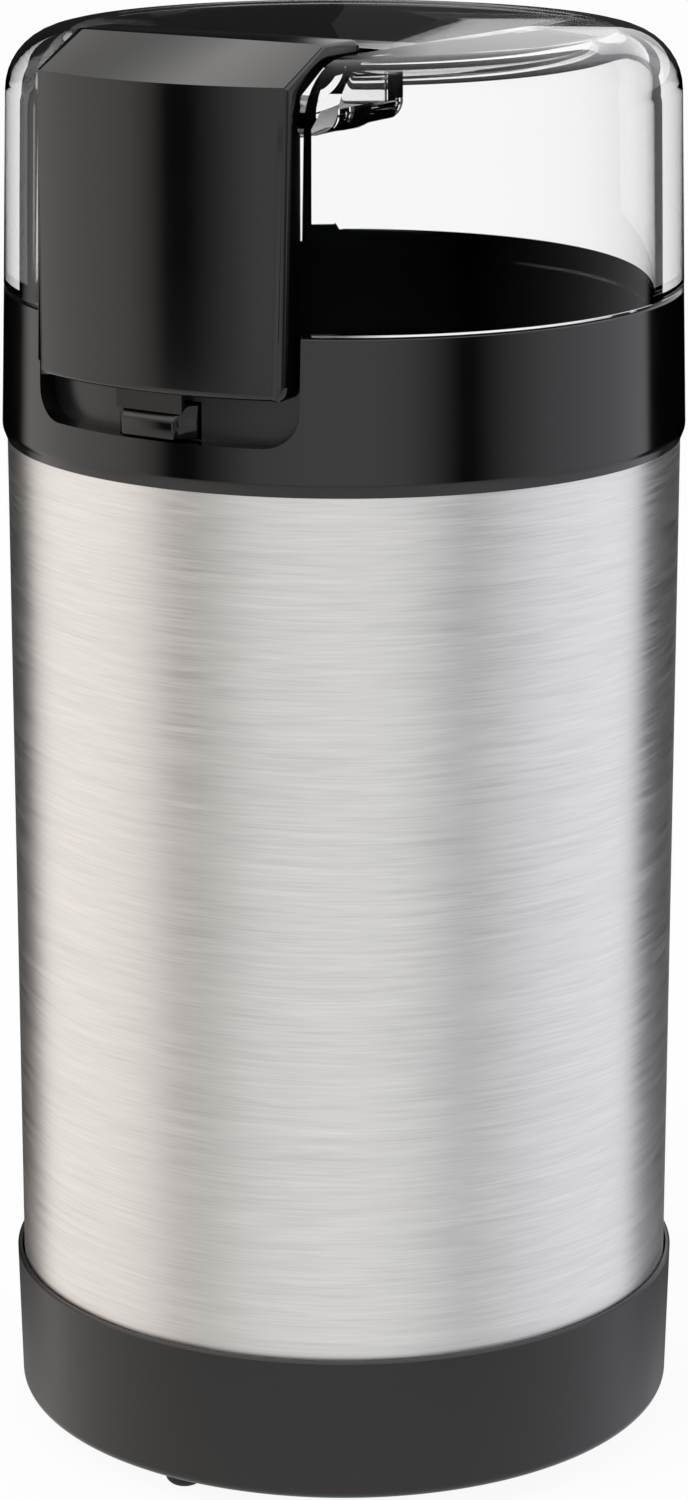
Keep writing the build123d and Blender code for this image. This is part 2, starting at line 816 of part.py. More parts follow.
def cooling_fan():
    low = stack_top + winding_height + fan_above_winding
    high = low + fan_height
    body = cylinder(fan_radius, low, low + fan_disc) + cylinder(fan_hub, low, high)
    vane = block(fan_hub - cut_over, fan_radius, -vane_thickness / 2, vane_thickness / 2,
                 low + fan_disc / 2, high - vane_drop)
    vane = Pos(0, vane_offset, 0) * Rot(0, 0, vane_turn) * vane
    body = body + around(vane, [360 * turn / fan_blades for turn in range(fan_blades)])
    body = body & cylinder(fan_radius, low, high)
    return body - cylinder(shaft_radius + shaft_gap, low - cut_over, high + cut_over)


def brush_middle():
    return stack_bottom - winding_height - seat_gap - commutator_height / 2


def brush_holders():
    half = holder_width / 2
    hole = brush_size / 2 + shaft_gap
    middle = brush_middle()
    holder = block(-half, half, holder_inner, holder_outer, lower_plate_top,
                   lower_plate_top + holder_height)
    holder = holder - block(-hole, hole, holder_inner - cut_over, holder_outer - holder_end_wall,
                            middle - hole, middle + hole)
    return Compound(children=[holder, Rot(0, 0, 180) * holder])


def carbon_brushes():
    half = brush_size / 2
    middle = brush_middle()
    front = commutator_radius + seat_gap
    brush = block(-half, half, front, front + brush_length, middle - half, middle + half)
    return Compound(children=[brush, Rot(0, 0, 180) * brush])


def brush_springs():
    start = commutator_radius + seat_gap + brush_length
    length = holder_outer - holder_end_wall - start - seat_gap
    coil = spring(brush_spring_radius, brush_spring_wire, brush_spring_turns, length)
    coil = Pos(0, start + seat_gap / 2, brush_middle()) * Rot(-90, 0, 0) * coil
    return Compound(children=[coil, Rot(0, 0, 180) * coil])


def capacitor():
    low = base_bottom + base_floor
    half = capacitor_length / 2
    body = block(-half, half, capacitor_reach - capacitor_width / 2, capacitor_reach + capacitor_width / 2,
                 low, low + capacitor_height)
    return fillet(body.edges().filter_by(Axis.Z), capacitor_round)


def switch_body():
    half = switch_width / 2
    front = carrier_bore - seat_gap
    body = block(-half, half, -front, -front + switch_length, carrier_under - switch_height, carrier_under)
    bore_low = plunger_top - plunger_rise - plunger_hidden - panel_travel - seat_gap
    return body - cylinder(plunger_radius + shaft_gap, bore_low, carrier_under + cut_over, 0, -rod_reach)


def switch_plunger():
    low = carrier_under - plunger_hidden
    return cylinder(plunger_radius, low, plunger_top, 0, -rod_reach)


def wedge_height(reach):
    """Height of the tab's slanted underside at a distance from the axis."""
    return tab_bottom + (rod_reach + rod_radius - reach)


def switch_pushrod():
    low = plunger_top + seat_gap
    drop = seat_gap * math.sqrt(2)
    far = rod_reach + 2 * rod_radius
    near = rod_reach - 2 * rod_radius
    rod = cylinder(rod_radius, low, wedge_height(near), 0, -rod_reach)
    clear = wedge_height(near) + cut_over
    above = side_cut(2 * rod_radius, (far, wedge_height(far) - drop), (far, clear), (near, clear),
                     (near, wedge_height(near) - drop))
    return rod - above


def switch_tab():
    wedge_start = rod_reach + rod_radius
    face_top = tab_bottom + tab_face_height
    side = side_cut(tab_stop_half_width, (tab_face, tab_bottom), (tab_face, face_top),
                    (tab_face - tab_bevel, tab_top), (tab_nose_reach, tab_top),
                    (tab_nose_reach, wedge_height(tab_nose_reach)), (wedge_start, tab_bottom))
    stop = math.sqrt(recess_inner ** 2 - tab_stop_half_width ** 2) - seat_gap
    shoulder = tab_face_half_width + tab_corner / 2
    nose = tab_face_half_width - tab_corner / 2
    front = tab_face + cut_over
    right = [(tab_stop_half_width, 0), (tab_stop_half_width, -stop), (tab_half_width, -stop),
             (tab_half_width, -recess_floor), (shoulder, -tab_face + tab_corner), (nose, -front)]
    left = [(-x, y) for x, y in reversed(right)]
    plan = Pos(0, 0, tab_bottom - cut_over) * outline(*right, *left)
    return side & extrude(plan, tab_top - tab_bottom + 2 * cut_over)


def lid_space(side, back, under, behind, corner):
    """The room that the panel takes out of the lid, grown by the walls given."""
    half = recess_half_width + side
    floor = pocket_level - under
    pocket = plan_mask(half, pocket_back_reach - back, floor, lid_crown + cut_through, corner)
    channel = block(-half, half, -tube_radius - cut_through, 0, rim - 2 * cut_through, floor + cut_over)
    channel = channel - cylinder(backing_radius - behind, rim - 3 * cut_through, floor + 2 * cut_over)
    return pocket + channel


def lid():
    crown_radius = rim_radius - lid_lean
    outside = turned((0, rim), (rim_radius - rim_bevel, rim), (rim_radius, rim + rim_bevel),
                     (crown_radius, lid_crown, lid_shoulder), (0, lid_crown))
    skirt_radius = collar_bore - seat_gap
    inner_rim = rim_radius - lid_wall
    low = rim - lid_skirt_depth
    outside = outside + ring(skirt_radius, inner_rim, low, rim + lid_skirt_depth)
    inner_top = lid_crown - lid_top
    inside = turned((0, low - cut_over), (inner_rim, low - cut_over), (inner_rim, rim),
                    (inner_rim - lid_lean, inner_top, lid_inner_shoulder), (0, inner_top))
    keep = lid_space(pocket_side_wall, pocket_back_wall, pocket_floor, backing_wall,
                     pocket_corner + pocket_side_wall)
    room = lid_space(0, 0, 0, 0, pocket_corner)
    skirt_break = recess_half_width + pocket_side_wall + seat_gap
    bevel_reach = backing_radius + cut_over
    bevel_high = pocket_level + cut_over
    bevel_low = pocket_level - pocket_bevel - cut_over
    bevel = turned((backing_radius - pocket_bevel, pocket_level), (bevel_reach, bevel_high),
                   (bevel_reach, bevel_low))
    half = recess_half_width
    room = room + (bevel & block(-half, half, -bevel_reach, 0, bevel_low, bevel_high))
    body = outside - room - (inside - keep)
    body = body - block(-skirt_break, skirt_break, -tube_radius, -recess_inner / 2, low - cut_over, rim)
    post_hole = cylinder(post_radius + seat_gap, pocket_level - pocket_floor - cut_over,
                         pocket_level + cut_over, 0, -post_reach)
    return body - [Pos(x, 0, 0) * post_hole for x in (-post_spread, post_spread)]


def panel_section(radius, half_width, back, height):
    """A level section of the panel, straight at the back and round at the front."""
    reach = math.sqrt(radius ** 2 - half_width ** 2)
    left = (-half_width, -reach)
    right = (half_width, -reach)
    edges = [Line((-half_width, -back), left), ThreePointArc(left, (0, -radius), right),
             Line(right, (half_width, -back)), Line((half_width, -back), (-half_width, -back))]
    return Pos(0, 0, height) * make_face(edges)


def panel_crown_section(front, half_width, back, height):
    """The level section at the panel's top, straight at the front as well."""
    left = (-half_width, -front)
    right = (half_width, -front)
    edges = [Line((-half_width, -back), left), Line(left, right), Line(right, (half_width, -back)),
             Line((half_width, -back), (-half_width, -back))]
    return Pos(0, 0, height) * make_face(edges)


def press_panel():
    half = panel_half_width
    back = panel_back_reach
    low = panel_section(panel_low_radius, half, back, panel_bottom)
    knee = panel_section(panel_high_radius, half, back, panel_knee)
    crown = panel_crown_section(panel_top_reach, half, back, panel_top)
    body = loft([low, knee], ruled=True) + loft([knee, crown], ruled=True)
    corners = [edge for edge in body.edges() if is_panel_corner(edge)]
    body = fillet(corners, panel_corner)
    body = fillet(front_outline(body), panel_edge_round)
    wide = half + cut_over
    low_end = panel_bottom - cut_over
    hollow = cylinder(panel_inner, low_end, panel_inner_knee)
    hollow = hollow & block(-wide, wide, -rim_radius, 0, low_end, panel_inner_knee)
    hollow = hollow + loft([panel_section(panel_inner, wide, 0, panel_inner_knee),
                            panel_crown_section(panel_inner_front, wide, 0, panel_inner_top)], ruled=True)
    flange_low = panel_inner_top - panel_back_flange_drop
    hollow = hollow - block(-wide, wide, -panel_flange_front, 0, flange_low, panel_top)
    body = body - hollow
    post_low = pocket_level - pocket_floor - seat_gap
    post = cylinder(post_radius, post_low, panel_inner_top + post_root, 0, -post_reach)
    pilot = cylinder(panel_screw_radius + shaft_gap, post_low - cut_over, panel_inner_top - post_roof, 0,
                     -post_reach)
    posts = [Pos(x, 0, 0) * (post - pilot) for x in (-post_spread, post_spread)]
    return joined([body, pusher()] + posts)


def is_panel_corner(edge):
    """The panel's two bottom corners and the two upright corners at its back."""
    middle = edge @ 0.5
    direction = edge % 0.5
    at_side = abs(abs(middle.X) - panel_half_width) < same_place
    at_bottom = abs(middle.Z - panel_bottom) < same_place and round(abs(direction.Y)) == 1
    at_back = abs(middle.Y + panel_back_reach) < same_place and round(abs(direction.Z)) == 1
    return at_side and (at_bottom or at_back)


def front_outline(body):
    """The edges round the panel's face, chamfer and top, without the bends between these."""
    fronts = []
    for face in body.faces():
        normal = face.normal_at()
        if abs(normal.X) < same_place and normal.Y < same_place and normal.Z > -same_place:
            fronts.append(face)
    middles = [edge @ 0.5 for face in fronts for edge in face.edges()]

    def times_found(edge):
        return sum((edge @ 0.5 - middle).length < same_place for middle in middles)

    return [edge for edge in body.edges() if times_found(edge) == 1]


def pusher():
    """The rib under the panel that presses the tab, cut to the slope of its bevel."""
    back = panel_inner + tab_face_overhang
    front = back + pusher_thickness
    drop = seat_gap * math.sqrt(2)

    def slope(reach):
        return tab_top + (tab_face - tab_bevel - reach) + drop

    root = panel_bottom + cut_over
    return side_cut(pusher_half_width, (front, slope(front)), (front, root), (back, root),
                    (back, slope(back)))


def panel_springs():
    length = panel_inner_top - pocket_level - seat_gap
    coil = spring(panel_spring_radius, panel_spring_wire, panel_spring_turns, length)
    return Compound(children=[Pos(x, -post_reach, pocket_level + seat_gap / 2) * coil
                              for x in (-post_spread, post_spread)])


def panel_screws():
    low = pocket_level - pocket_floor - seat_gap
    washer = cylinder(panel_washer_radius, low - panel_washer, low)
    one = screw(screw_head, panel_screw_head_height, panel_screw_radius, panel_screw_length)
    one = Pos(0, 0, low - panel_washer) * one + washer
    return Compound(children=[Pos(x, -post_reach, 0) * one for x in (-post_spread, post_spread)])


def write(name, shape):
    if isinstance(shape, list) or isinstance(shape, ShapeList):
        shape = Compound(children=list(shape))
    export_step(shape, "parts/" + name + ".step")


pieces = [
    base_housing, rubber_feet, base_screws, cord_bush, body_tube, collar, grinding_bowl, bowl_cushion,
    shaft_seal, drive_shaft, blade_hub, blade, blade_nut, motor_carrier, carrier_screws, vibration_mounts,
    mount_screws, upper_bracket, upper_bearing, lower_bracket, lower_bearing, stator_core, field_coils,
    motor_spacers, motor_screws, rotor_core, rotor_winding, commutator, cooling_fan, brush_holders,
    carbon_brushes, brush_springs, capacitor, switch_body, switch_plunger, switch_pushrod, switch_tab,
    lid, press_panel, panel_springs, panel_screws,
]

os.makedirs("parts", exist_ok=True)
for piece in pieces:
    write(piece.__name__, piece())
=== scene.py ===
# %% [markdown]
# # A small electric coffee grinder, dressed in Blender
#
# The grinder is already built to size as a solid model of forty-one pieces, each riding on the body that
# moves it. This lesson loads that model as a fixed frame, remakes the pieces that the eye rests on as
# smooth meshes in the same places, gives every piece the finish of its real material, and lights the
# whole like a product photograph. Everything is in metres, with the press panel facing -Y.

# %% Load the model
import json
import math
import bpy
import bmesh
from mathutils import Matrix, Vector


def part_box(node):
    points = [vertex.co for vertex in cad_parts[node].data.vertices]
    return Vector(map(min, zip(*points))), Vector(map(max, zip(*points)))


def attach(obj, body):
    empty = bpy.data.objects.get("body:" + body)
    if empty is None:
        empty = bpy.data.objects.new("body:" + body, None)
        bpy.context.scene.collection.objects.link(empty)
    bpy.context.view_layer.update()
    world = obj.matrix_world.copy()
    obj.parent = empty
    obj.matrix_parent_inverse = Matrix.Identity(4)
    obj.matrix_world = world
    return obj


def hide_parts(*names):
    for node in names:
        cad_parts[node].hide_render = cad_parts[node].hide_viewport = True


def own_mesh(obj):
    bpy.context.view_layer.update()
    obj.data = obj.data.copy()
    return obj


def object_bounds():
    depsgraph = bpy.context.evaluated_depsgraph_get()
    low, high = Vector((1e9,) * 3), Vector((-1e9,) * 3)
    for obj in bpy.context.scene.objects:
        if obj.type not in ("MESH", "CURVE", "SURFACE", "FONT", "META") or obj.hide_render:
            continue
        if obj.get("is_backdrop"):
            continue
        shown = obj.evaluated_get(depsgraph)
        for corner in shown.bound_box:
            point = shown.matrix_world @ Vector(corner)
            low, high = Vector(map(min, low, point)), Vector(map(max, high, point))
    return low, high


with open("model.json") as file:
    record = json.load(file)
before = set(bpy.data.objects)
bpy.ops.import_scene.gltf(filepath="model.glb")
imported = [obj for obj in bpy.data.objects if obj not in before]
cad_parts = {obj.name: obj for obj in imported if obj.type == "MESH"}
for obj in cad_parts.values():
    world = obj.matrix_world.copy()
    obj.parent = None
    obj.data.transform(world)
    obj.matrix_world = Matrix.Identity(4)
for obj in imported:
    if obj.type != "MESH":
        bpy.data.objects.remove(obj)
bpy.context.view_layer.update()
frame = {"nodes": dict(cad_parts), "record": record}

mm = 0.001

# %% [markdown]
# ## The camera
#
# A long lens from a little over half a metre away, looking down by some fifteen degrees, keeps the
# upright sides nearly parallel, as a catalogue picture does. The camera comes first, so that each piece
# can be looked at as soon as it is made.

# %% Camera
camera_place = (0.3090, -0.4740, 0.2486)
camera_pitch = math.radians(74.676)
camera_turn = math.radians(33.1)
lens_length = 102.84
film_width = 36
camera = bpy.data.objects.new("camera", bpy.data.cameras.new("camera"))
camera.location = camera_place
camera.rotation_euler = (camera_pitch, 0, camera_turn)
camera.data.lens = lens_length
camera.data.sensor_width = film_width
bpy.context.scene.collection.objects.link(camera)
bpy.context.scene.camera = camera
print("camera", tuple(camera.location))

# %% [markdown]
# ## Colours and nodes
#
# Colours are picked as they look on a screen, so one function turns such a hex value into the linear
# light that shaders work in. Another adds a single node with its settings and links, which keeps each
# material short enough to read.


# %% Colour and node helpers
def linear(hex_value):
    """A screen colour such as "3c3b3a" as linear red, green, blue and alpha."""
    channels = [int(hex_value[start:start + 2], 16) / 255 for start in (0, 2, 4)]
    curved = [value / 12.92 if value <= 0.04045 else ((value + 0.055) / 1.055) ** 2.4 for value in channels]
    return (*curved, 1.0)


def add(tree, kind, sockets=None, **settings):
    """One node: settings are its own properties, sockets hold plain values or the outputs that feed them."""
    made = tree.nodes.new(kind)
    for name, value in settings.items():
        setattr(made, name, value)
    for name, value in (sockets or {}).items():
        if isinstance(value, bpy.types.NodeSocket):
            tree.links.new(value, made.inputs[name])
        else:
            made.inputs[name].default_value = value
    return made


def new_material(name, sockets):
    """A material with one Principled shader, set by its own sockets."""
    material = bpy.data.materials.new(name)
    material.use_nodes = True
    tree = material.node_tree
    tree.nodes.clear()
    shader = add(tree, "ShaderNodeBsdfPrincipled", sockets)
    add(tree, "ShaderNodeOutputMaterial", {"Surface": shader.outputs["BSDF"]})
    return material, tree, shader


def lay_over(tree, share, under, over):
    """Shows one shader over another by a share, at the material's output."""
    mixed = add(tree, "ShaderNodeMixShader", {0: share, 1: under, 2: over})
    output = next(found for found in tree.nodes if found.bl_idname == "ShaderNodeOutputMaterial")
    tree.links.new(mixed.outputs[0], output.inputs["Surface"])


def ramp(tree, factor, stops):
    """A colour ramp from (place, hex or grey) stops."""
    made = add(tree, "ShaderNodeValToRGB", {"Fac": factor})
    elements = made.color_ramp.elements
    while len(elements) < len(stops):
        elements.new(0.5)
    for element, (place, tone) in zip(elements, stops):
        element.position = place
        element.color = linear(tone) if isinstance(tone, str) else (tone, tone, tone, 1.0)
    return made.outputs["Color"]


print("helpers ready")

# %% [markdown]
# ## Brushed stainless steel
#
# The body is a sleeve of thin stainless steel, brushed round and round with an abrasive belt. Each
# scratch is a short level line, so the sleeve mirrors the room as upright bands and smears them up and
# down: the shader's anisotropy is turned a quarter, across the scratches. The scratches are a noise
# stretched along the level plane. Real ones are a twentieth of a millimetre wide, too fine for this
# picture, so they are drawn a quarter of a millimetre apart, with a fainter set of wider ones, and they
# wander a little, as the belt does.


# %% Brushed steel
scratch_pitch = 0.24 * mm
scratch_run = 9 * mm
wide_pitch = 1.1 * mm
wide_run = 24 * mm
belt_wander = 0.7 * mm
belt_wander_run = 26 * mm


def brushed_steel():
    material, tree, shader = new_material("brushed_stainless_steel", {
        "Metallic": 1.0, "Anisotropic": 0.75, "Anisotropic Rotation": 0.25})
    place = add(tree, "ShaderNodeTexCoord").outputs["Object"]
    wander = add(tree, "ShaderNodeTexNoise", {"Vector": place, "Scale": 1 / belt_wander_run, "Detail": 1.0})
    lift = add(tree, "ShaderNodeMath", {0: wander.outputs["Fac"], 1: belt_wander}, operation="MULTIPLY")
    shift = add(tree, "ShaderNodeCombineXYZ", {"Z": lift.outputs[0]})
    moved = add(tree, "ShaderNodeVectorMath", {0: place, 1: shift.outputs[0]}, operation="ADD")
    stretch = (1 / scratch_run, 1 / scratch_run, 1 / scratch_pitch)
    lines = add(tree, "ShaderNodeVectorMath", {0: moved.outputs[0], 1: stretch}, operation="MULTIPLY")
    fine = add(tree, "ShaderNodeTexNoise", {"Vector": lines.outputs[0], "Scale": 1.0, "Detail": 2.0})
    wide_stretch = (1 / wide_run, 1 / wide_run, 1 / wide_pitch)
    wide_lines = add(tree, "ShaderNodeVectorMath", {0: moved.outputs[0], 1: wide_stretch},
                     operation="MULTIPLY")
    wide = add(tree, "ShaderNodeTexNoise", {"Vector": wide_lines.outputs[0], "Scale": 1.0, "Detail": 2.0})
    both = add(tree, "ShaderNodeMix", {0: 0.35, 2: fine.outputs["Fac"], 3: wide.outputs["Fac"]})
    colour = ramp(tree, both.outputs[0], ((0.25, "dddcdb"), (0.5, "ecebea"), (0.75, "f8f7f6")))
    rough = add(tree, "ShaderNodeMapRange", {"Value": both.outputs[0], "From Min": 0.3, "From Max": 0.7,
                                             "To Min": 0.3, "To Max": 0.4})
    bump = add(tree, "ShaderNodeBump", {"Height": fine.outputs["Fac"], "Strength": 0.2,
                                        "Distance": 0.006 * mm})
    tangent = add(tree, "ShaderNodeTangent", direction_type="RADIAL", axis="Z")
    tree.links.new(colour, shader.inputs["Base Color"])
    tree.links.new(rough.outputs[0], shader.inputs["Roughness"])
    tree.links.new(bump.outputs[0], shader.inputs["Normal"])
    tree.links.new(tangent.outputs[0], shader.inputs["Tangent"])
    return material


steel = brushed_steel()
print("made", steel.name)

# %% [markdown]
# ## Moulded plastics and rubber
#
# The collar, the press panel and the tab are glossy ABS, polished in the mould, and the base is the
# same plastic from a lightly etched mould, which leaves it dull. ABS bends light by about 1.53. Even a
# polished moulding isn't a perfect mirror, so a slow noise moves the roughness a little, and the etched
# one gets a fine grain.


# %% Plastics and rubber
def moulded(name, colour, roughness, spread, grain, grain_depth, index):
    """A moulded finish: a slow change of roughness, and a fine grain left by the mould."""
    material, tree, shader = new_material(name, {"Base Color": linear(colour), "IOR": index})
    place = add(tree, "ShaderNodeTexCoord").outputs["Object"]
    slow = add(tree, "ShaderNodeTexNoise", {"Vector": place, "Scale": 1 / (12 * mm), "Detail": 2.0})
    rough = add(tree, "ShaderNodeMapRange", {"Value": slow.outputs["Fac"], "From Min": 0.3, "From Max": 0.7,
                                             "To Min": roughness - spread, "To Max": roughness + spread})
    fine = add(tree, "ShaderNodeTexNoise", {"Vector": place, "Scale": 1 / grain, "Detail": 2.0})
    bump = add(tree, "ShaderNodeBump", {"Height": fine.outputs["Fac"], "Strength": 0.3,
                                        "Distance": grain_depth})
    tree.links.new(rough.outputs[0], shader.inputs["Roughness"])
    tree.links.new(bump.outputs[0], shader.inputs["Normal"])
    return material


gloss_abs = moulded("polished_black_abs", "060606", 0.12, 0.02, 0.9 * mm, 0.002 * mm, 1.58)
etched_abs = moulded("etched_black_abs", "161616", 0.3, 0.03, 0.45 * mm, 0.02 * mm, 1.53)
rubber = moulded("moulded_black_rubber", "161616", 0.7, 0.05, 0.5 * mm, 0.02 * mm, 1.52)
nylon = moulded("white_nylon", "e2e0d8", 0.45, 0.04, 0.6 * mm, 0.01 * mm, 1.53)
phenolic = moulded("brown_phenolic", "4a2b1c", 0.5, 0.05, 0.4 * mm, 0.02 * mm, 1.6)
carbon = moulded("pressed_carbon", "26262a", 0.6, 0.05, 0.3 * mm, 0.02 * mm, 1.5)
film = moulded("yellow_capacitor_film", "d9a92c", 0.35, 0.04, 0.8 * mm, 0.01 * mm, 1.5)
print("made", [item.name for item in (gloss_abs, etched_abs, rubber, nylon, phenolic, carbon, film)])

# %% [markdown]
# ## The clear lid
#
# The lid is moulded in SAN, a clear plastic that bends light by 1.57. It is fully transmissive, smooth,
# and very slightly grey, so that its thick edges gather tone and draw the shape.


# %% Clear plastic
def clear_plastic():
    material, tree, shader = new_material("clear_san", {"Base Color": linear("fcfcfc"), "IOR": 1.57,
                                                        "Transmission Weight": 1.0,
                                                        "Specular Tint": (0.03, 0.03, 0.03, 1)})
    place = add(tree, "ShaderNodeTexCoord").outputs["Object"]
    slow = add(tree, "ShaderNodeTexNoise", {"Vector": place, "Scale": 1 / (20 * mm), "Detail": 1.0})
    rough = add(tree, "ShaderNodeMapRange", {"Value": slow.outputs["Fac"], "To Min": 0.0, "To Max": 0.015})
    tree.links.new(rough.outputs[0], shader.inputs["Roughness"])
    return material


clear = clear_plastic()
print("made", clear.name)

# %% [markdown]
# ## Metals of the works
#
# The bowl is polished stainless steel, the screws are zinc plated, the brackets are cast aluminium and
# the stack is blued lamination steel. They differ mostly in colour and roughness, so one function makes
# them all, with a noise that mottles the plating or the casting.


# %% Metals
def metal(name, dark, light, roughness, mottle, depth):
    """A metal whose tone and roughness are mottled over the given size."""
    material, tree, shader = new_material(name, {"Metallic": 1.0})
    place = add(tree, "ShaderNodeTexCoord").outputs["Object"]
    noise = add(tree, "ShaderNodeTexNoise", {"Vector": place, "Scale": 1 / mottle, "Detail": 3.0})
    colour = ramp(tree, noise.outputs["Fac"], ((0.35, dark), (0.65, light)))
    rough = add(tree, "ShaderNodeMapRange", {"Value": noise.outputs["Fac"], "From Min": 0.3, "From Max": 0.7,
                                             "To Min": roughness * 0.8, "To Max": roughness * 1.2})
    bump = add(tree, "ShaderNodeBump", {"Height": noise.outputs["Fac"], "Strength": 0.3, "Distance": depth})
    tree.links.new(colour, shader.inputs["Base Color"])
    tree.links.new(rough.outputs[0], shader.inputs["Roughness"])
    tree.links.new(bump.outputs[0], shader.inputs["Normal"])
    return material


polished = metal("polished_stainless_steel", "c4c3c0", "cfcecb", 0.14, 3 * mm, 0.004 * mm)
zinc = metal("zinc_plated_steel", "a9aaa6", "bfc0bb", 0.3, 1.2 * mm, 0.01 * mm)
spring_wire = metal("drawn_spring_steel", "8f8f8e", "a3a3a2", 0.28, 0.8 * mm, 0.005 * mm)
aluminium = metal("cast_aluminium", "b9babc", "cbccce", 0.42, 1.5 * mm, 0.03 * mm)
laminations = metal("lamination_steel", "55565a", "6c6d70", 0.45, 0.5 * mm, 0.03 * mm)
copper = metal("varnished_copper_wire", "8a4a26", "b9683a", 0.3, 0.4 * mm, 0.04 * mm)
bronze = metal("sintered_bronze", "8c6f45", "a3875a", 0.5, 0.3 * mm, 0.02 * mm)
print("made", [item.name for item in (polished, zinc, spring_wire, aluminium, laminations, copper, bronze)])

# %% [markdown]
# ## Finishes for the model's own pieces
#
# Most of the works keep the solid model's meshes, whose shapes are right. Each of them takes the finish
# that its slot in the record names.

# %% Finishes by slot
finishes = {
    "brushed_steel_sleeve": steel,
    "gloss_black_plastic": gloss_abs,
    "matte_black_plastic": etched_abs,
    "clear_plastic": clear,
    "black_rubber": rubber,
    "stainless_steel": polished,
    "spring_steel": spring_wire,
    "zinc_plated_steel": zinc,
    "aluminium_plate": aluminium,
    "lamination_steel": laminations,
    "copper_winding": copper,
    "sintered_bronze": bronze,
    "brown_phenolic": phenolic,
    "carbon": carbon,
    "white_nylon": nylon,
    "yellow_film": film,
}
slot_of = {part["node"]: part["material_slot"] for part in frame["record"]["subparts"]}
for name, piece in frame["nodes"].items():
    piece.data.materials.clear()
    piece.data.materials.append(finishes[slot_of[name]])
print("dressed", len(slot_of), "nodes")

# %% [markdown]
# ## Turning and cutting
#
# Nearly every piece of the outside is round, so it is made as on a lathe: a closed outline of radius
# and height, its corners rounded by a vertex bevel, is spun about the upright axis. What isn't round is
# cut away with a boolean, which a modifier does exactly. All lengths below are in millimetres.

# %% Lathe
lathe_steps = 240
smooth_below = math.radians(28)
flat_below = math.radians(0.2)
same_point = 0.002 * mm
sliver = 0.01 * mm


def round_corners(mesh, points, corners):
    """Rounds those corners of an outline that carry a third number, which is their radius."""
    for point, corner in zip(points, corners):
        if len(corner) > 2:
            before, after = [edge.other_vert(point).co - point.co for edge in point.link_edges]
            reach = corner[2] * mm / math.tan(before.angle(after) / 2)
            bmesh.ops.bevel(mesh, geom=[point], offset=reach, offset_type="OFFSET", segments=10, profile=0.5,
                            affect="VERTICES", material=-1)


def finish_mesh(name, mesh):
    """Merges and smooths a bmesh and makes it an object."""
    bmesh.ops.remove_doubles(mesh, verts=mesh.verts, dist=same_point)
    bmesh.ops.recalc_face_normals(mesh, faces=mesh.faces)
    data = bpy.data.meshes.new(name)
    mesh.to_mesh(data)
    mesh.free()
    data.shade_smooth()
    data.set_sharp_from_angle(angle=smooth_below)
    made = bpy.data.objects.new(name, data)
    bpy.context.scene.collection.objects.link(made)
    return made


def turned_mesh(corners, steps):
    """A mesh spun about the upright axis from an outline of (radius, height) corners."""
    mesh = bmesh.new()
    points = [mesh.verts.new((corner[0] * mm, 0, corner[1] * mm)) for corner in corners]
    mesh.faces.new(points)
    round_corners(mesh, points, corners)
    bmesh.ops.delete(mesh, geom=mesh.faces[:], context="FACES_ONLY")
    bmesh.ops.spin(mesh, geom=mesh.verts[:] + mesh.edges[:], cent=(0, 0, 0), axis=(0, 0, 1), angle=math.tau,
                   steps=steps, use_merge=True)
    return mesh


def turned(name, corners, steps=lathe_steps):
    """The same as a finished object."""
    return finish_mesh(name, turned_mesh(corners, steps))


print("lathe steps", lathe_steps)

# %% [markdown]
# A block or a rod is the tool for each boolean. One that has to reach past every piece ends at a far side,
# below or above, so that its end never lies in a face. Where a piece is fine as the model has it, a merged
# copy of its mesh is the start.

# %% Cutters
upright, forwards = Vector((0, 0, 1)), Vector((0, 1, 0))
far_side, far_below, far_above = 60, 100, 250


def merged_copy(node):
    """A bmesh of one of the model's pieces, whose loose triangles are joined."""
    mesh = bmesh.new()
    mesh.from_mesh(frame["nodes"][node].data)
    bmesh.ops.remove_doubles(mesh, verts=mesh.verts, dist=same_point)
    return mesh


def edges_along(mesh, direction):
    """The edges of a bmesh that run along a direction."""
    return [edge for edge in mesh.edges
            if abs((edge.verts[0].co - edge.verts[1].co).normalized().dot(direction)) > 0.9]


def round_edges(mesh, edges, offset, segments):
    """Rounds edges of a bmesh by an offset in millimetres."""
    bmesh.ops.bevel(mesh, geom=edges, offset=offset * mm, offset_type="OFFSET", segments=segments,
                    profile=0.5, affect="EDGES", material=-1)


def block(name, low, high, along=None, radius=0):
    """A box between two corners, whose edges along one direction may be rounded."""
    mesh = bmesh.new()
    bmesh.ops.create_cube(mesh, size=mm)
    size = [top - bottom for bottom, top in zip(low, high)]
    middle = [(top + bottom) / 2 * mm for bottom, top in zip(low, high)]
    bmesh.ops.scale(mesh, vec=size, verts=mesh.verts)
    bmesh.ops.translate(mesh, vec=middle, verts=mesh.verts)
    if along:
        round_edges(mesh, edges_along(mesh, along), radius, 8)
    return finish_mesh(name, mesh)


def rods(name, radius, low, high, places, steps=48):
    """Upright rods at several places, as one cutter or one set of posts."""
    mesh = bmesh.new()
    for x, y in places:
        place = Matrix.Translation((x * mm, y * mm, (low + high) / 2 * mm))
        bmesh.ops.create_cone(mesh, cap_ends=True, segments=steps, radius1=radius * mm, radius2=radius * mm,
                              depth=(high - low) * mm, matrix=place)
    return finish_mesh(name, mesh)


def combine(piece, how, *others):
    """Changes a piece by others in turn, with booleans that are applied at once."""
    for other in others:
        step = piece.modifiers.new("combine", "BOOLEAN")
        step.operation = how
        step.object = other
        step.solver = "EXACT"
        shaped = bpy.data.meshes.new_from_object(piece.evaluated_get(bpy.context.evaluated_depsgraph_get()))
        piece.modifiers.remove(step)
        piece.data = shaped
        bpy.data.objects.remove(other)
    return piece


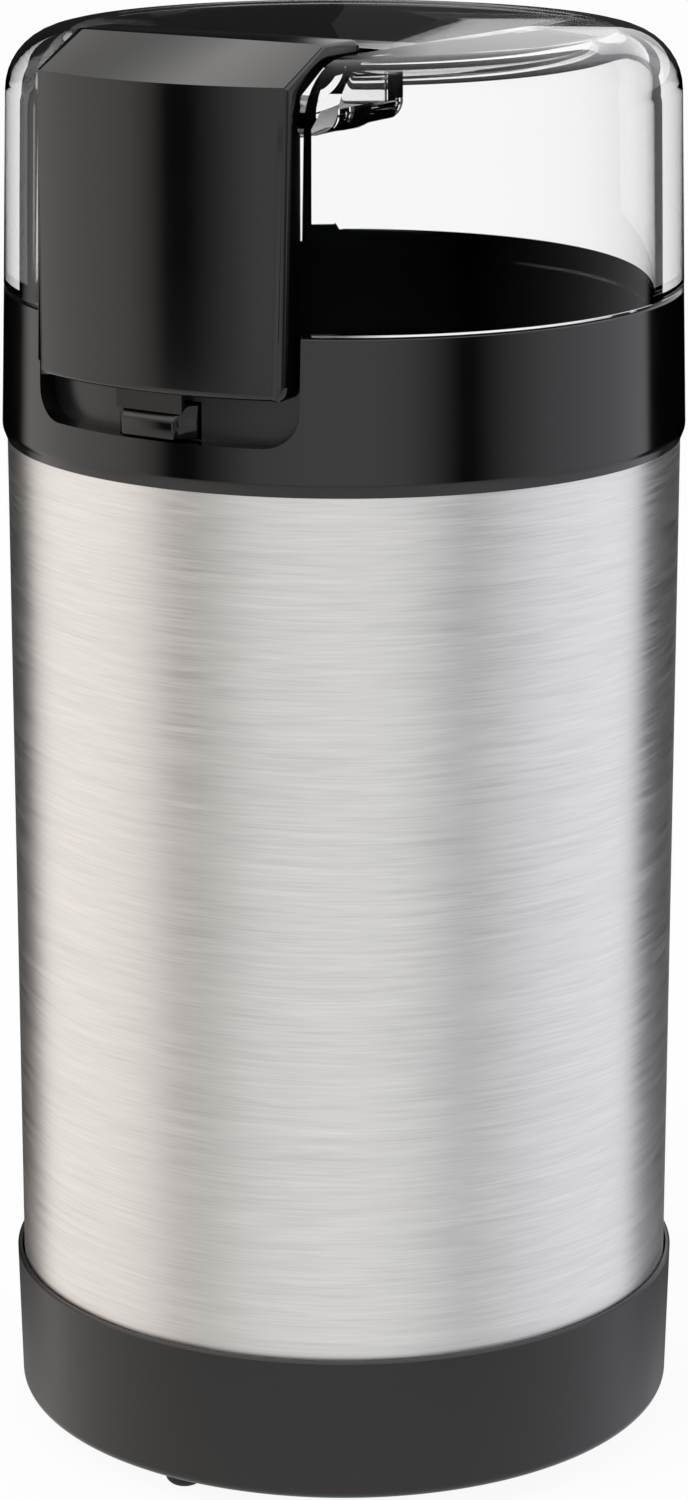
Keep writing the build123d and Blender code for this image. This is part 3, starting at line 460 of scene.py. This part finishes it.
def settle(piece):
    """Clears what booleans leave behind: double points, slivers and seams between level faces."""
    mesh = bmesh.new()
    mesh.from_mesh(piece.data)
    bmesh.ops.remove_doubles(mesh, verts=mesh.verts, dist=sliver)
    bmesh.ops.dissolve_degenerate(mesh, edges=mesh.edges, dist=sliver)
    bmesh.ops.dissolve_limit(mesh, angle_limit=flat_below, verts=mesh.verts, edges=mesh.edges)
    mesh.to_mesh(piece.data)
    mesh.free()
    piece.data.shade_smooth()
    piece.data.set_sharp_from_angle(angle=smooth_below)
    return piece


def dress(piece, finish, body, *nodes):
    """Gives a finished piece its material and its body, in place of the model's nodes."""
    piece.data.materials.clear()
    piece.data.materials.append(finish)
    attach(piece, body)
    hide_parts(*nodes)
    print(piece.name, len(piece.data.polygons), "faces")


print("cutters ready")

# %% [markdown]
# ## Levels and radii
#
# The heights and radii that several pieces share are read from the model's boxes where a box shows them.
# The few inner ones are the same numbers that the solid model was drawn with. Only the lower edge of the
# press panel differs: the real one hangs a little lower than the model's face, down to where the rib
# behind it starts, which stays inside the model's box.

# %% Shared sizes
base_bottom, base_top = (corner.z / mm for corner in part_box("base_housing"))
tube_bottom, tube_top = (corner.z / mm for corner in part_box("body_tube"))
tube_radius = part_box("body_tube")[1].x / mm
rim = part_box("collar")[1].z / mm
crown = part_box("lid")[1].z / mm
rim_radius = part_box("lid")[1].x / mm
panel_bottom, panel_top = tube_top + 12.2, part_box("press_panel")[1].z / mm
bowl_under, bowl_top = (corner.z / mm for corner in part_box("grinding_bowl"))
steel_gauge = 0.8
deck = bowl_top - steel_gauge
deck_under = deck - 2.5
collar_bore = rim_radius - 2.4
recess_floor = collar_bore
recess_half = 20.0
shelf_half = recess_half + 1.5
pocket_level = crown - 6.4
print("base", base_bottom, base_top, "tube", tube_bottom, tube_top, tube_radius, "rim", rim, rim_radius)
print("deck", deck, "crown", crown, "panel", panel_bottom, panel_top)

# %% [markdown]
# ## The steel sleeve
#
# A plain tube of 0.6 mm steel. Only its outside shows, with the base's lip round its bottom edge and
# the collar standing on its top edge.

# %% Sleeve
sleeve_bore = tube_radius - 0.6
sleeve = turned("steel_sleeve", [(sleeve_bore, tube_bottom), (tube_radius, tube_bottom),
                                 (tube_radius, tube_top), (sleeve_bore, tube_top)])
dress(sleeve, steel, "housing", "body_tube")

# %% [markdown]
# ## The base
#
# A shallow moulded tray whose lip stands just outside the sleeve. Its floor has a ring of vent slots,
# four wells for the screws and three shallow seats for the feet, and a flat land at the back carries the
# inlet of the cord. The tray is turned first, then the pillars are added and everything else is cut.

# %% Base tray
pillar_circle = tube_radius - 7.0
foot_circle = tube_radius - 5.6
quarter_turns = [math.radians(turn) for turn in (45, 135, 225, 315)]
foot_turns = [math.radians(turn) for turn in (-90, 30, 150)]
pillar_places = [(pillar_circle * math.cos(turn), pillar_circle * math.sin(turn)) for turn in quarter_turns]
foot_places = [(foot_circle * math.cos(turn), foot_circle * math.sin(turn)) for turn in foot_turns]
base_floor_top = base_bottom + 2.5
pillar_top = 20.0
pillar_radius, head_radius, shank_radius = 4.4, 3.0, 1.7
seat_radius, stem_radius = 3.3, 2.05
seat_level = base_bottom + 0.8
head_level = base_bottom + 5.0
base_bore = tube_radius - 2.05
lip_bore = tube_radius + 0.3
lip_round = 0.25
lip_radius = tube_radius + 0.9

base = turned("base_shell", [
    (0, base_bottom), (tube_radius + 0.45, base_bottom, 1.5), (lip_radius, base_top - lip_round),
    (lip_radius - lip_round, base_top), (lip_bore, base_top), (lip_bore, tube_bottom),
    (base_bore, tube_bottom), (base_bore, base_floor_top), (0, base_floor_top)])
combine(base, "UNION", rods("pillars", pillar_radius, base_floor_top - 1.2, pillar_top, pillar_places))
combine(base, "DIFFERENCE", rods("head_wells", head_radius, base_bottom - 1, head_level, pillar_places),
        rods("shank_holes", shank_radius, base_bottom, pillar_top + 1, pillar_places),
        rods("foot_seats", seat_radius, base_bottom - 1, seat_level, foot_places),
        rods("stem_holes", stem_radius, base_bottom, base_floor_top + 1, foot_places))
print("base", len(base.data.polygons), "faces")


# %% Vents and cord land
def vent_slots(name, count, inner, outer, width):
    """A ring of round-ended upright slots, as one cutter."""
    mesh = bmesh.new()
    bmesh.ops.create_cube(mesh, size=mm)
    bmesh.ops.scale(mesh, vec=(outer - inner, width, 8), verts=mesh.verts)
    bmesh.ops.translate(mesh, vec=((outer + inner) / 2 * mm, 0, base_bottom * mm), verts=mesh.verts)
    round_edges(mesh, edges_along(mesh, upright), width * 0.49, 6)
    bmesh.ops.rotate(mesh, verts=mesh.verts, cent=(0, 0, 0), matrix=Matrix.Rotation(math.pi / count, 3, "Z"))
    bmesh.ops.spin(mesh, geom=mesh.verts[:] + mesh.edges[:] + mesh.faces[:], cent=(0, 0, 0), axis=(0, 0, 1),
                   angle=math.tau * (count - 1) / count, steps=count - 1, use_duplicate=True)
    return finish_mesh(name, mesh)


cord_height = 12.5
cord_flat = tube_radius - 0.8
land_half = 6.5
inlet_radius, inlet_reach = 5.05, 10
inlet = rods("inlet", inlet_radius, -inlet_reach, inlet_reach, [(0, 0)])
lay_down = Matrix.Rotation(math.pi / 2, 4, "X")
inlet.data.transform(Matrix.Translation((0, (tube_radius - 2) * mm, cord_height * mm)) @ lay_down)
combine(base, "DIFFERENCE", vent_slots("vents", count=12, inner=14, outer=27, width=2.4),
        block("cord_land", (-land_half, cord_flat, cord_height - land_half),
              (land_half, far_side, cord_height + land_half)), inlet)
settle(base)
dress(base, etched_abs, "housing", "base_housing")

# %% [markdown]
# ## Rubber feet
#
# Three small feet are pressed into the floor on a ring near the edge, so from the front only one of them
# shows, under the middle.

# %% Feet
barb_top = base_floor_top + 2.0
foot_corners = [(0, 0), (2.3, 0, 1.4), (3.2, seat_level), (2.0, seat_level), (2.0, base_floor_top),
                (2.8, base_floor_top), (1.6, barb_top), (0, barb_top)]
foot = turned_mesh(foot_corners, 48)
bmesh.ops.translate(foot, vec=(0, -foot_circle * mm, 0), verts=foot.verts)
bmesh.ops.spin(foot, geom=foot.verts[:] + foot.edges[:] + foot.faces[:], cent=(0, 0, 0), axis=(0, 0, 1),
               angle=math.tau * 2 / 3, steps=2, use_duplicate=True)
dress(finish_mesh("feet_set", foot), rubber, "housing", "rubber_feet")

# %% [markdown]
# ## The collar
#
# A black ring that stands on the sleeve and flares a little towards its foot. Inside it holds the deck,
# a level floor with the hole for the bowl. At the front a recess lets the press panel hang flush, with
# a thin wall behind it and a slot that the switch tab looks through. The wall of the recess is as the
# mould left it, so its faces take the etched finish in a second slot.

# %% Collar ring
backing_inner = recess_floor - 2.0
rim_round = 0.3
plug_radius, plug_bore = tube_radius - 0.9, tube_radius - 2.9
plug_bottom = tube_top - 8
deck_hole = 36.1
collar = turned("collar_shell", [
    (collar_bore, rim - rim_round), (collar_bore + rim_round, rim), (rim_radius - rim_round, rim),
    (rim_radius, rim - rim_round), (tube_radius + 0.65, tube_top + 1.4, 2.0), (tube_radius + 0.1, tube_top),
    (plug_radius, tube_top), (plug_radius, plug_bottom), (plug_bore, plug_bottom),
    (plug_bore, deck_under), (deck_hole, deck_under), (deck_hole, deck), (collar_bore, deck)])
backing = turned("backing", [(backing_inner, deck - 1.2), (recess_floor + 1, deck - 1.2),
                             (recess_floor + 1, rim - 0.05), (backing_inner, rim - 0.05)])
combine(backing, "INTERSECT", block("front", (-shelf_half, -far_side, far_below), (shelf_half, 0, far_above)))
combine(collar, "UNION", backing)
print("collar", len(collar.data.polygons), "faces")

# %% Recess, slot and posts
recess_bottom = tube_top + 6.1
recess = block("recess", (-recess_half, -far_side, recess_bottom), (recess_half, 0, far_above), forwards, 4.3)
combine(recess, "DIFFERENCE", rods("recess_back", recess_floor, far_below, far_above, [(0, 0)], lathe_steps))
hood_half, hood_back, hood_top = 8.5, 34.7, 150.4
hood_wall = 1.2
room_half, room_back, room_top = hood_half - hood_wall, hood_back + hood_wall, hood_top - hood_wall
hood = block("hood", (-hood_half, -backing_inner - 1, deck + 1.1), (hood_half, -hood_back, hood_top))
combine(hood, "DIFFERENCE", block("hood_room", (-room_half, -backing_inner - 2, deck),
                                  (room_half, -room_back, room_top)))
post_circle = tube_radius - 6.1
post_places = [(post_circle * math.cos(turn), post_circle * math.sin(turn)) for turn in quarter_turns]
post_bottom = deck_under - 27.8
rod_place = (0, -(tube_radius - 4.8))
combine(collar, "DIFFERENCE", recess)
combine(collar, "UNION", hood, rods("posts", 2.9, post_bottom, deck_under + 1.2, post_places))
combine(collar, "DIFFERENCE", block("tab_slot", (-6.3, -47, recess_bottom + 0.1), (6.3, -38.7, room_top)),
        rods("rod_hole", 1.7, deck_under - 1, room_top - 0.3, [rod_place]),
        rods("pilots", 1.55, post_bottom - 1, post_bottom + 12, post_places))
settle(collar)
dress(collar, gloss_abs, "housing", "collar")
collar.data.materials.append(etched_abs)
for face in collar.data.polygons:
    middle = face.center / mm
    if abs(middle.x) < recess_half and middle.y < 0 and abs(middle.xy.length - recess_floor) < 0.05:
        face.material_index = 1
print("etched", sum(face.material_index for face in collar.data.polygons), "faces")

# %% [markdown]
# ## The bowl
#
# The bowl that holds the beans is pressed from polished stainless steel. It hangs by its flange in the
# deck, and its bottom turns up into a short neck round the shaft.

# %% Bowl
flange_radius, bowl_bore, neck_bore = 37.4, 35.0, 6.0
bowl_floor, neck_top = bowl_under + steel_gauge, bowl_under + 3.5
bowl = turned("bowl_shell", [
    (flange_radius, deck), (flange_radius, bowl_top), (bowl_bore, bowl_top, 0.7),
    (bowl_bore, bowl_floor, 7.2), (neck_bore + steel_gauge, bowl_floor, 0.6),
    (neck_bore + steel_gauge, neck_top), (neck_bore, neck_top), (neck_bore, bowl_under),
    (bowl_bore + steel_gauge, bowl_under, 8.0), (bowl_bore + steel_gauge, deck)])
dress(bowl, polished, "housing", "grinding_bowl")

# %% [markdown]
# ## The switch tab
#
# The tab is all flat faces, so a merged copy of the model's mesh is enough. Its flat triangles are
# dissolved into whole faces, its front is drawn in a little, as the sides of such a tab taper so that it
# leaves its mould, and a small bevel breaks its edges.

# %% Tab
front_share = 0.86
tab_mesh = merged_copy("switch_tab")
bmesh.ops.dissolve_limit(tab_mesh, angle_limit=math.radians(1), verts=tab_mesh.verts, edges=tab_mesh.edges)
fronts = [point for point in tab_mesh.verts if point.co.y < -(recess_floor + 0.1) * mm]
bmesh.ops.scale(tab_mesh, vec=(front_share, 1, 1), verts=fronts)
round_edges(tab_mesh, tab_mesh.edges[:], 0.2, 2)
tab = finish_mesh("tab_shell", tab_mesh)
dress(tab, gloss_abs, "tab", "switch_tab")

# %% [markdown]
# ## The press panel
#
# The panel is a bent plate: its face follows the round of the body, then breaks into a straight chamfer
# up to a level top. A slice of a turned ring gives the round face. Its top is pulled up and flattened to
# the straight front edge of the chamfer, and the same shape, a little smaller, hollows it from behind.


# %% Panel blank
slice_half_turn = math.radians(48)


def panel_blank(name, low, knee, top, low_radius, knee_radius, front, half, back):
    """A slice of a ring with a ruled chamfer above it, flat at the sides and the back."""
    mesh = bmesh.new()
    inner = abs(back) * 0.6
    points = [mesh.verts.new((x * mm, 0, z * mm)) for x, z in
              ((inner, low), (low_radius, low), (knee_radius, knee), (inner, knee))]
    face = mesh.faces.new(points)
    start = Matrix.Rotation(-math.pi / 2 - slice_half_turn, 3, "Z")
    bmesh.ops.rotate(mesh, verts=mesh.verts, cent=(0, 0, 0), matrix=start)
    bmesh.ops.spin(mesh, geom=[face], cent=(0, 0, 0), axis=(0, 0, 1), angle=2 * slice_half_turn, steps=96,
                   use_merge=False)
    cuts = (((half * mm, 0, 0), (1, 0, 0)), ((-half * mm, 0, 0), (-1, 0, 0)), ((0, back * mm, 0), (0, 1, 0)))
    for place, normal in cuts:
        whole = mesh.verts[:] + mesh.edges[:] + mesh.faces[:]
        bmesh.ops.bisect_plane(mesh, geom=whole, dist=0.0001 * mm, plane_co=place, plane_no=normal,
                               clear_outer=True)
        bmesh.ops.holes_fill(mesh, edges=mesh.edges[:], sides=0)
    bmesh.ops.recalc_face_normals(mesh, faces=mesh.faces)
    bmesh.ops.dissolve_limit(mesh, angle_limit=flat_below, verts=mesh.verts, edges=mesh.edges)
    tops = [face for face in mesh.faces if face.normal.z > 0.9]
    raised = bmesh.ops.extrude_face_region(mesh, geom=tops)["geom"]
    bmesh.ops.delete(mesh, geom=tops, context="FACES_ONLY")
    upper = [item for item in raised if isinstance(item, bmesh.types.BMVert)]
    bmesh.ops.translate(mesh, verts=upper, vec=(0, 0, (top - knee) * mm))
    fronts = [point for point in upper if point.co.y < front * mm]
    bmesh.ops.scale(mesh, verts=fronts, vec=(1, 0, 1), space=Matrix.Translation((0, -front * mm, 0)))
    bmesh.ops.dissolve_limit(mesh, angle_limit=flat_below, verts=mesh.verts, edges=mesh.edges)
    bmesh.ops.recalc_face_normals(mesh, faces=mesh.faces)
    return mesh


panel_low_radius, panel_knee_radius = 46.5, 45.8
panel_knee = panel_top - 4.4
panel_front, panel_back = -33.1, -23.7
panel_half = recess_half - 1.1
panel_mesh = panel_blank("panel", panel_bottom, panel_knee, panel_top, panel_low_radius, panel_knee_radius,
                         panel_front, panel_half, panel_back)
print("panel blank", len(panel_mesh.faces), "faces")


# %% [markdown]
# The corners of the blank are rounded first, where its sides meet the lower edge and the back, and then
# the outline of everything that shows from the front gets a smaller round.

# %% Panel edges
def lies_at(edge, axis, place):
    """Whether both ends of an edge lie at one place along an axis, on either side of the middle."""
    return all(abs(abs(point.co[axis]) - abs(place) * mm) < sliver for point in edge.verts)


corners = [edge for edge in panel_mesh.edges if lies_at(edge, 0, panel_half)
           and (lies_at(edge, 2, panel_bottom) or lies_at(edge, 1, panel_back))]
round_edges(panel_mesh, corners, 2.5, 8)
panel_mesh.normal_update()
shown = {face for face in panel_mesh.faces if face.normal.y < -0.3 or face.normal.z > 0.3}
rounded = [edge for edge in panel_mesh.edges if sum(face in shown for face in edge.link_faces) == 1]
round_edges(panel_mesh, rounded, 0.9, 6)
panel = finish_mesh("panel_shell", panel_mesh)
print("corner edges", len(corners), "face edges", len(rounded))

# %% [markdown]
# Behind its face the panel is hollow, with a flange along the back. Two posts stand in the lid's pocket and
# carry the springs, and a rib behind the lower edge ends in a slope that slides on the tab's bevel.

# %% Panel hollow, posts and pusher
roof = 2.2
flange = 1.6
hollow_radius, hollow_knee, hollow_front, hollow_half = 43.1, 187.5, -32.73, 25
hollow = finish_mesh("hollow", panel_blank("hollow", far_below, hollow_knee, panel_top - roof, hollow_radius,
                                           hollow_radius, hollow_front, hollow_half, -1))
combine(hollow, "DIFFERENCE", block("flange", (-far_side, panel_back - flange, panel_top - roof - flange),
                                    (far_side, far_side, far_above)))
combine(panel, "DIFFERENCE", hollow)
post_reach = 29.0
post_spots = [(-9, -post_reach), (9, -post_reach)]
combine(panel, "UNION", rods("posts", 2.2, pocket_level - 3.1, panel_top - 1.7, post_spots))
combine(panel, "DIFFERENCE", rods("pilots", 1.15, pocket_level - 4.1, panel_top - 3.2, post_spots))


def pusher():
    """The rib behind the panel's lower edge, whose end is sloped as the tab's bevel is."""
    back, front, half = -43.3, -44.7, 5
    tab_front, tab_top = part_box("switch_tab")[0].y / mm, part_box("switch_tab")[1].z / mm
    tab_bevel, gap = 2.0, 0.3 * math.sqrt(2)
    slope = [tab_top + reach - (tab_front + tab_bevel) + gap for reach in (front, back)]
    mesh = bmesh.new()
    points = [mesh.verts.new((-half * mm, y * mm, z * mm)) for y, z in
              ((front, slope[0]), (front, panel_bottom + 1), (back, panel_bottom + 1), (back, slope[1]))]
    face = mesh.faces.new(points)
    raised = bmesh.ops.extrude_face_region(mesh, geom=[face])["geom"]
    bmesh.ops.translate(mesh, verts=[item for item in raised if isinstance(item, bmesh.types.BMVert)],
                        vec=(2 * half * mm, 0, 0))
    return finish_mesh("pusher", mesh)


combine(panel, "UNION", pusher())
settle(panel)
dress(panel, gloss_abs, "panel", "press_panel")

# %% [markdown]
# ## The springs under the panel
#
# Two wire springs stand in the pocket and lift the panel. They keep the model's coils, as a merged copy.

# %% Panel springs
spring_pair = finish_mesh("spring_pair", merged_copy("panel_springs"))
dress(spring_pair, spring_wire, "lid", "panel_springs")
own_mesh(spring_pair)

# %% [markdown]
# ## The clear lid
#
# The lid is a turned cup, upside down, with a thick wall and rounded shoulders. At the front the panel
# takes its room out of it: a shallow pocket in the top with its own floor, and a channel down the wall.
# A short skirt round the open end drops inside the collar.

# %% Lid cup
lid_radius = rim_radius - 0.9
skirt_radius, skirt_bore, skirt_end = 42.4, 41.4, rim - 3.2
lid_bore, ceiling = 40.5, crown - 2.6
pocket_back, pocket_wall, pocket_floor = 21.6, 1.8, 2.8
inset = 0.8
lid_piece = turned("lid_shell", [
    (0, crown), (lid_radius, crown, 8.0), (rim_radius, rim + rim_round), (rim_radius - rim_round, rim),
    (skirt_radius, rim), (skirt_radius, skirt_end), (skirt_bore, skirt_end), (skirt_bore, rim),
    (lid_bore, ceiling, 5.2), (0, ceiling)])
filling = turned("filling", [(0, rim + 1), (rim_radius - inset, rim + 1),
                             (lid_radius - inset, crown - inset, 7.4), (0, crown - inset)])
combine(filling, "INTERSECT", block("shelf", (-shelf_half, -far_side, pocket_level - pocket_floor),
                                    (shelf_half, pocket_wall - pocket_back, crown + 5), forwards, 2.6))
combine(lid_piece, "UNION", filling)
print("lid", len(lid_piece.data.polygons), "faces")

# %% Pocket and channel
channel_floor = 42.8
bevel_reach = 1.8
break_half = shelf_half + 0.3
room = block("room", (-recess_half, -far_side, pocket_level), (recess_half, -pocket_back, crown + 10),
             upright, 1.5)
channel = block("channel", (-recess_half, -far_side - 2, rim - 10), (recess_half, 0, pocket_level + 1))
combine(channel, "DIFFERENCE",
        rods("channel_back", channel_floor, far_below, far_above, [(0, 0)], lathe_steps))
bevel_ring = turned("bevel_ring", [(channel_floor - bevel_reach, pocket_level),
                                   (channel_floor + 1, pocket_level + 1),
                                   (channel_floor + 1, pocket_level - bevel_reach - 1)])
combine(bevel_ring, "INTERSECT", block("bevel_width", (-recess_half, -far_side, far_below),
                                       (recess_half, 0, far_above)))
combine(lid_piece, "DIFFERENCE", room, channel, bevel_ring,
        block("skirt_break", (-break_half, -44.9, rim - 5), (break_half, -20.4, rim)),
        rods("post_holes", 2.5, pocket_level - 4, pocket_level + 1, post_spots))
settle(lid_piece)
dress(lid_piece, clear, "lid", "lid")

# %% [markdown]
# ## The studio
#
# The grinder stands on a white floor in an even white room. Black plastic shows its shape only by what
# it mirrors, so the studio has two soft black flags before the object, which glossy surfaces see a
# little below their own height, and a black wall behind it, whose ends draw the dark edges of round
# things. Before that wall, behind the right side, hangs a white card, which the lid's level top mirrors.
# The camera sees none of these. Brushed steel smears the room up and down, so a low flag only shades it.
# The left of the room is a little warm and the right a little cool. Places are angles round the object,
# counted from the camera, positive to the right, and heights are the sine of the angle above the level.

# %% Studio tones
flag_tones = ((-138, 0.0), (-130, 0.8), (-115, 0.98), (-98, 1.0), (-85, 1.0), (-75, 0.92), (-66, 0.56),
              (-59, 0.0), (-51, 0.0), (-44, 0.22), (-37, 0.46), (-29, 0.76), (-8, 0.9), (10, 0.87),
              (19, 0.76), (27, 0.52), (34, 0.24), (39, 0.0), (44, 0.02), (53, 0.34), (62, 0.6), (71, 0.84),
              (90, 0.98), (113, 1.0), (120, 0.9), (124, 0.0))
wall_tones = ((-136, 0.02), (-127, 1.0), (-118, 1.0), (-98, 0.94), (-80, 0.85), (-63, 0.71), (-50, 0.58),
              (-30, 0.57), (0, 0.6), (30, 0.61), (45, 0.6), (60, 0.67), (80, 0.77), (103, 0.84), (116, 0.86),
              (123, 0.04))
flag_low, flag_high = math.sin(math.radians(-14)), math.sin(math.radians(-3))
wall_low, wall_high = math.sin(math.radians(-22)), math.sin(math.radians(32))
card_tones = ((-180, 0.0), (118, 0.0), (126, 1.0), (178.5, 1.0), (179.5, 0.0))
card_low = math.sin(math.radians(5.6))
flag_blur, wall_blur, ground_blur, card_blur = 0.07, 0.1, 0.08, 0.001
white, warm, cool = "ffffff", "fff9f4", "f9faff"
tint_stops = ((0.0, white), (0.1, warm), (0.3, warm), (0.5, white), (0.6, white), (0.7, cool), (0.9, cool),
              (1.0, white))
sky_tone, ground_tone = 1.5, 0.8
soft_level = 0.75


# %% World
def around_object(tree, share, tones):
    """A ramp of tones round the object."""
    return ramp(tree, share, [((degrees + 180) / 360, tone) for degrees, tone in tones])


def studio():
    world = bpy.data.worlds.new("studio")
    world.use_nodes = True
    world.cycles.sampling_method = "NONE"
    tree = world.node_tree
    tree.nodes.clear()
    heading = add(tree, "ShaderNodeTexCoord").outputs["Generated"]
    from_camera = (0, 0, math.pi / 2 - camera_turn)
    turned_heading = add(tree, "ShaderNodeMapping", {"Vector": heading, "Rotation": from_camera},
                         vector_type="POINT")
    parts = add(tree, "ShaderNodeSeparateXYZ", {"Vector": turned_heading.outputs[0]})
    angle = add(tree, "ShaderNodeMath", {0: parts.outputs["Y"], 1: parts.outputs["X"]}, operation="ARCTAN2")
    share = add(tree, "ShaderNodeMapRange", {"Value": angle.outputs[0], "From Min": -math.pi,
                                             "From Max": math.pi})
    flags = around_object(tree, share.outputs[0], flag_tones)
    walls = around_object(tree, share.outputs[0], wall_tones)
    over = add(tree, "ShaderNodeMapRange", {"Value": parts.outputs["Z"], "From Min": flag_high,
                                            "From Max": flag_high + flag_blur})
    under = add(tree, "ShaderNodeMapRange", {"Value": parts.outputs["Z"], "From Min": flag_low,
                                             "From Max": flag_low - flag_blur})
    beyond = add(tree, "ShaderNodeMath", {0: over.outputs[0], 1: under.outputs[0]}, operation="MAXIMUM")
    tones = add(tree, "ShaderNodeMix", {0: beyond.outputs[0], 6: flags, 7: walls}, data_type="RGBA")
    above = add(tree, "ShaderNodeMapRange", {"Value": parts.outputs["Z"], "From Min": wall_high,
                                             "From Max": wall_high + wall_blur})
    card = around_object(tree, share.outputs[0], card_tones)
    raised = add(tree, "ShaderNodeMapRange", {"Value": parts.outputs["Z"], "From Min": card_low,
                                              "From Max": card_low + card_blur})
    carded = add(tree, "ShaderNodeMath", {0: raised.outputs[0], 1: card}, operation="MULTIPLY")
    paper = linear(white)
    tones = add(tree, "ShaderNodeMix", {0: carded.outputs[0], 6: tones.outputs[2], 7: paper},
                data_type="RGBA")
    sky = (sky_tone, sky_tone, sky_tone, 1)
    room = add(tree, "ShaderNodeMix", {0: above.outputs[0], 6: tones.outputs[2], 7: sky}, data_type="RGBA")
    below = add(tree, "ShaderNodeMapRange", {"Value": parts.outputs["Z"], "From Min": wall_low,
                                             "From Max": wall_low - ground_blur})
    ground = (ground_tone, ground_tone, ground_tone, 1)
    room = add(tree, "ShaderNodeMix", {0: below.outputs[0], 6: room.outputs[2], 7: ground}, data_type="RGBA")
    tint = ramp(tree, share.outputs[0], tint_stops)
    tinted = add(tree, "ShaderNodeMix", {0: 1.0, 6: room.outputs[2], 7: tint}, data_type="RGBA",
                 blend_type="MULTIPLY")
    path = add(tree, "ShaderNodeLightPath")
    straight = add(tree, "ShaderNodeMath", {0: path.outputs["Is Camera Ray"],
                                            1: path.outputs["Is Transmission Ray"]}, operation="MAXIMUM")
    seen = add(tree, "ShaderNodeMath", {0: straight.outputs[0], 1: path.outputs["Is Glossy Ray"]},
               operation="MAXIMUM")
    level = add(tree, "ShaderNodeMapRange", {"Value": seen.outputs[0], "To Min": soft_level, "To Max": 1.0})
    colour = add(tree, "ShaderNodeMix", {0: path.outputs["Is Glossy Ray"], 6: paper, 7: tinted.outputs[2]},
                 data_type="RGBA")
    light = add(tree, "ShaderNodeBackground", {"Color": colour.outputs[2], "Strength": level.outputs[0]})
    add(tree, "ShaderNodeOutputWorld", {"Surface": light.outputs[0]})
    return world


bpy.context.scene.world = studio()
bpy.context.scene.view_settings.view_transform = "Standard"
print("world", bpy.context.scene.world.name)

# %% [markdown]
# ## Floor and lamps
#
# The floor is a wide white disc. To the camera it is mostly as bright as paper in full light, and the
# rest of it takes the grinder's shadow. A large soft lamp over the front left gives the dull base its
# shape, and it is kept out of the mirrors.

# %% Floor and lamps
floor_radius = 6.0
lit_share = 0.93


def studio_floor():
    mesh = bmesh.new()
    bmesh.ops.create_circle(mesh, cap_ends=True, segments=96, radius=floor_radius)
    made = finish_mesh("studio_floor", mesh)
    material, tree, shader = new_material("white_paper", {"Base Color": linear("f4f4f4"), "Roughness": 0.9})
    path = add(tree, "ShaderNodeLightPath")
    seen = add(tree, "ShaderNodeMath", {0: path.outputs["Is Camera Ray"],
                                        1: path.outputs["Is Transmission Ray"]}, operation="MAXIMUM")
    share = add(tree, "ShaderNodeMath", {0: seen.outputs[0], 1: lit_share}, operation="MULTIPLY")
    glow = add(tree, "ShaderNodeEmission", {"Strength": 1.0})
    lay_over(tree, share.outputs[0], shader.outputs[0], glow.outputs[0])
    made.data.materials.append(material)
    made.visible_glossy = False
    made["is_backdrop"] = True


studio_floor()


def soft_lamp(name, place, size, power):
    """A square area lamp aimed at the middle of the object."""
    lamp = bpy.data.objects.new(name, bpy.data.lights.new(name, "AREA"))
    lamp.data.size = size
    lamp.data.energy = power
    lamp.location = place
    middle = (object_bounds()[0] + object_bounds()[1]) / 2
    lamp.rotation_euler = (lamp.location - middle).to_track_quat("Z", "Y").to_euler()
    lamp.visible_glossy = False
    bpy.context.scene.collection.objects.link(lamp)


soft_lamp("front_lamp", place=(-0.5, -1.2, 1.3), size=1.2, power=14)

# %% [markdown]
# ## A dark tent for the clear plastic
#
# Clear plastic before white paper almost vanishes, so photographers put it in a black tent with a
# window behind it: light that comes straight through stays white, and light that the edges bend
# aside turns black and draws them. Only light that was mirrored inside the lid sees this tent, so the
# lid stays clear from every side.

# %% Dark tent
tent_radius, tent_height, tent_hole, tent_lift = 0.45, 0.6, 0.07, 0.001
window_sill, window_head = 0.2, 0.45
window_left, window_right, side_left = (math.radians(turn) for turn in (-36, 41, -105))


def opened(place, behind):
    """Whether a place on the tent's wall is in the window behind the object, or in the high one beside it."""
    turn = behind.angle_signed(place.xy)
    return place.z < window_head and (window_left < turn < window_right
                                      or place.z > window_sill and side_left < turn < 0)


def dark_tent():
    """A black bowl round the object with a window behind it, seen only through clear plastic."""
    mesh = bmesh.new()
    corners = [(tent_hole, tent_lift), (tent_radius, tent_lift), (tent_radius, window_sill),
               (tent_radius, window_head), (tent_radius * 0.7, tent_height), (0, tent_height)]
    points = [mesh.verts.new((away, 0, up)) for away, up in corners]
    for pair in zip(points, points[1:]):
        mesh.edges.new(pair)
    bmesh.ops.spin(mesh, geom=mesh.verts[:] + mesh.edges[:], cent=(0, 0, 0), axis=(0, 0, 1), angle=math.tau,
                   steps=120, use_merge=True)
    behind = Vector((-math.sin(camera_turn), math.cos(camera_turn)))
    window = [face for face in mesh.faces if opened(face.calc_center_median(), behind)]
    bmesh.ops.delete(mesh, geom=window, context="FACES")
    made = finish_mesh("dark_tent", mesh)
    material, tree, shader = new_material("black_cloth", {"Base Color": linear("000000"),
                                                          "Specular IOR Level": 0.0})
    path = add(tree, "ShaderNodeLightPath")
    bent = add(tree, "ShaderNodeMath", {0: path.outputs["Glossy Depth"], 1: 0.5}, operation="GREATER_THAN")
    through = add(tree, "ShaderNodeBsdfTransparent")
    lay_over(tree, bent.outputs[0], through.outputs[0], shader.outputs[0])
    made.data.materials.append(material)
    made.visible_camera = made.visible_diffuse = made.visible_glossy = made.visible_shadow = False
    made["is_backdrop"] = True
    print("tent", len(made.data.polygons), "faces")


dark_tent()
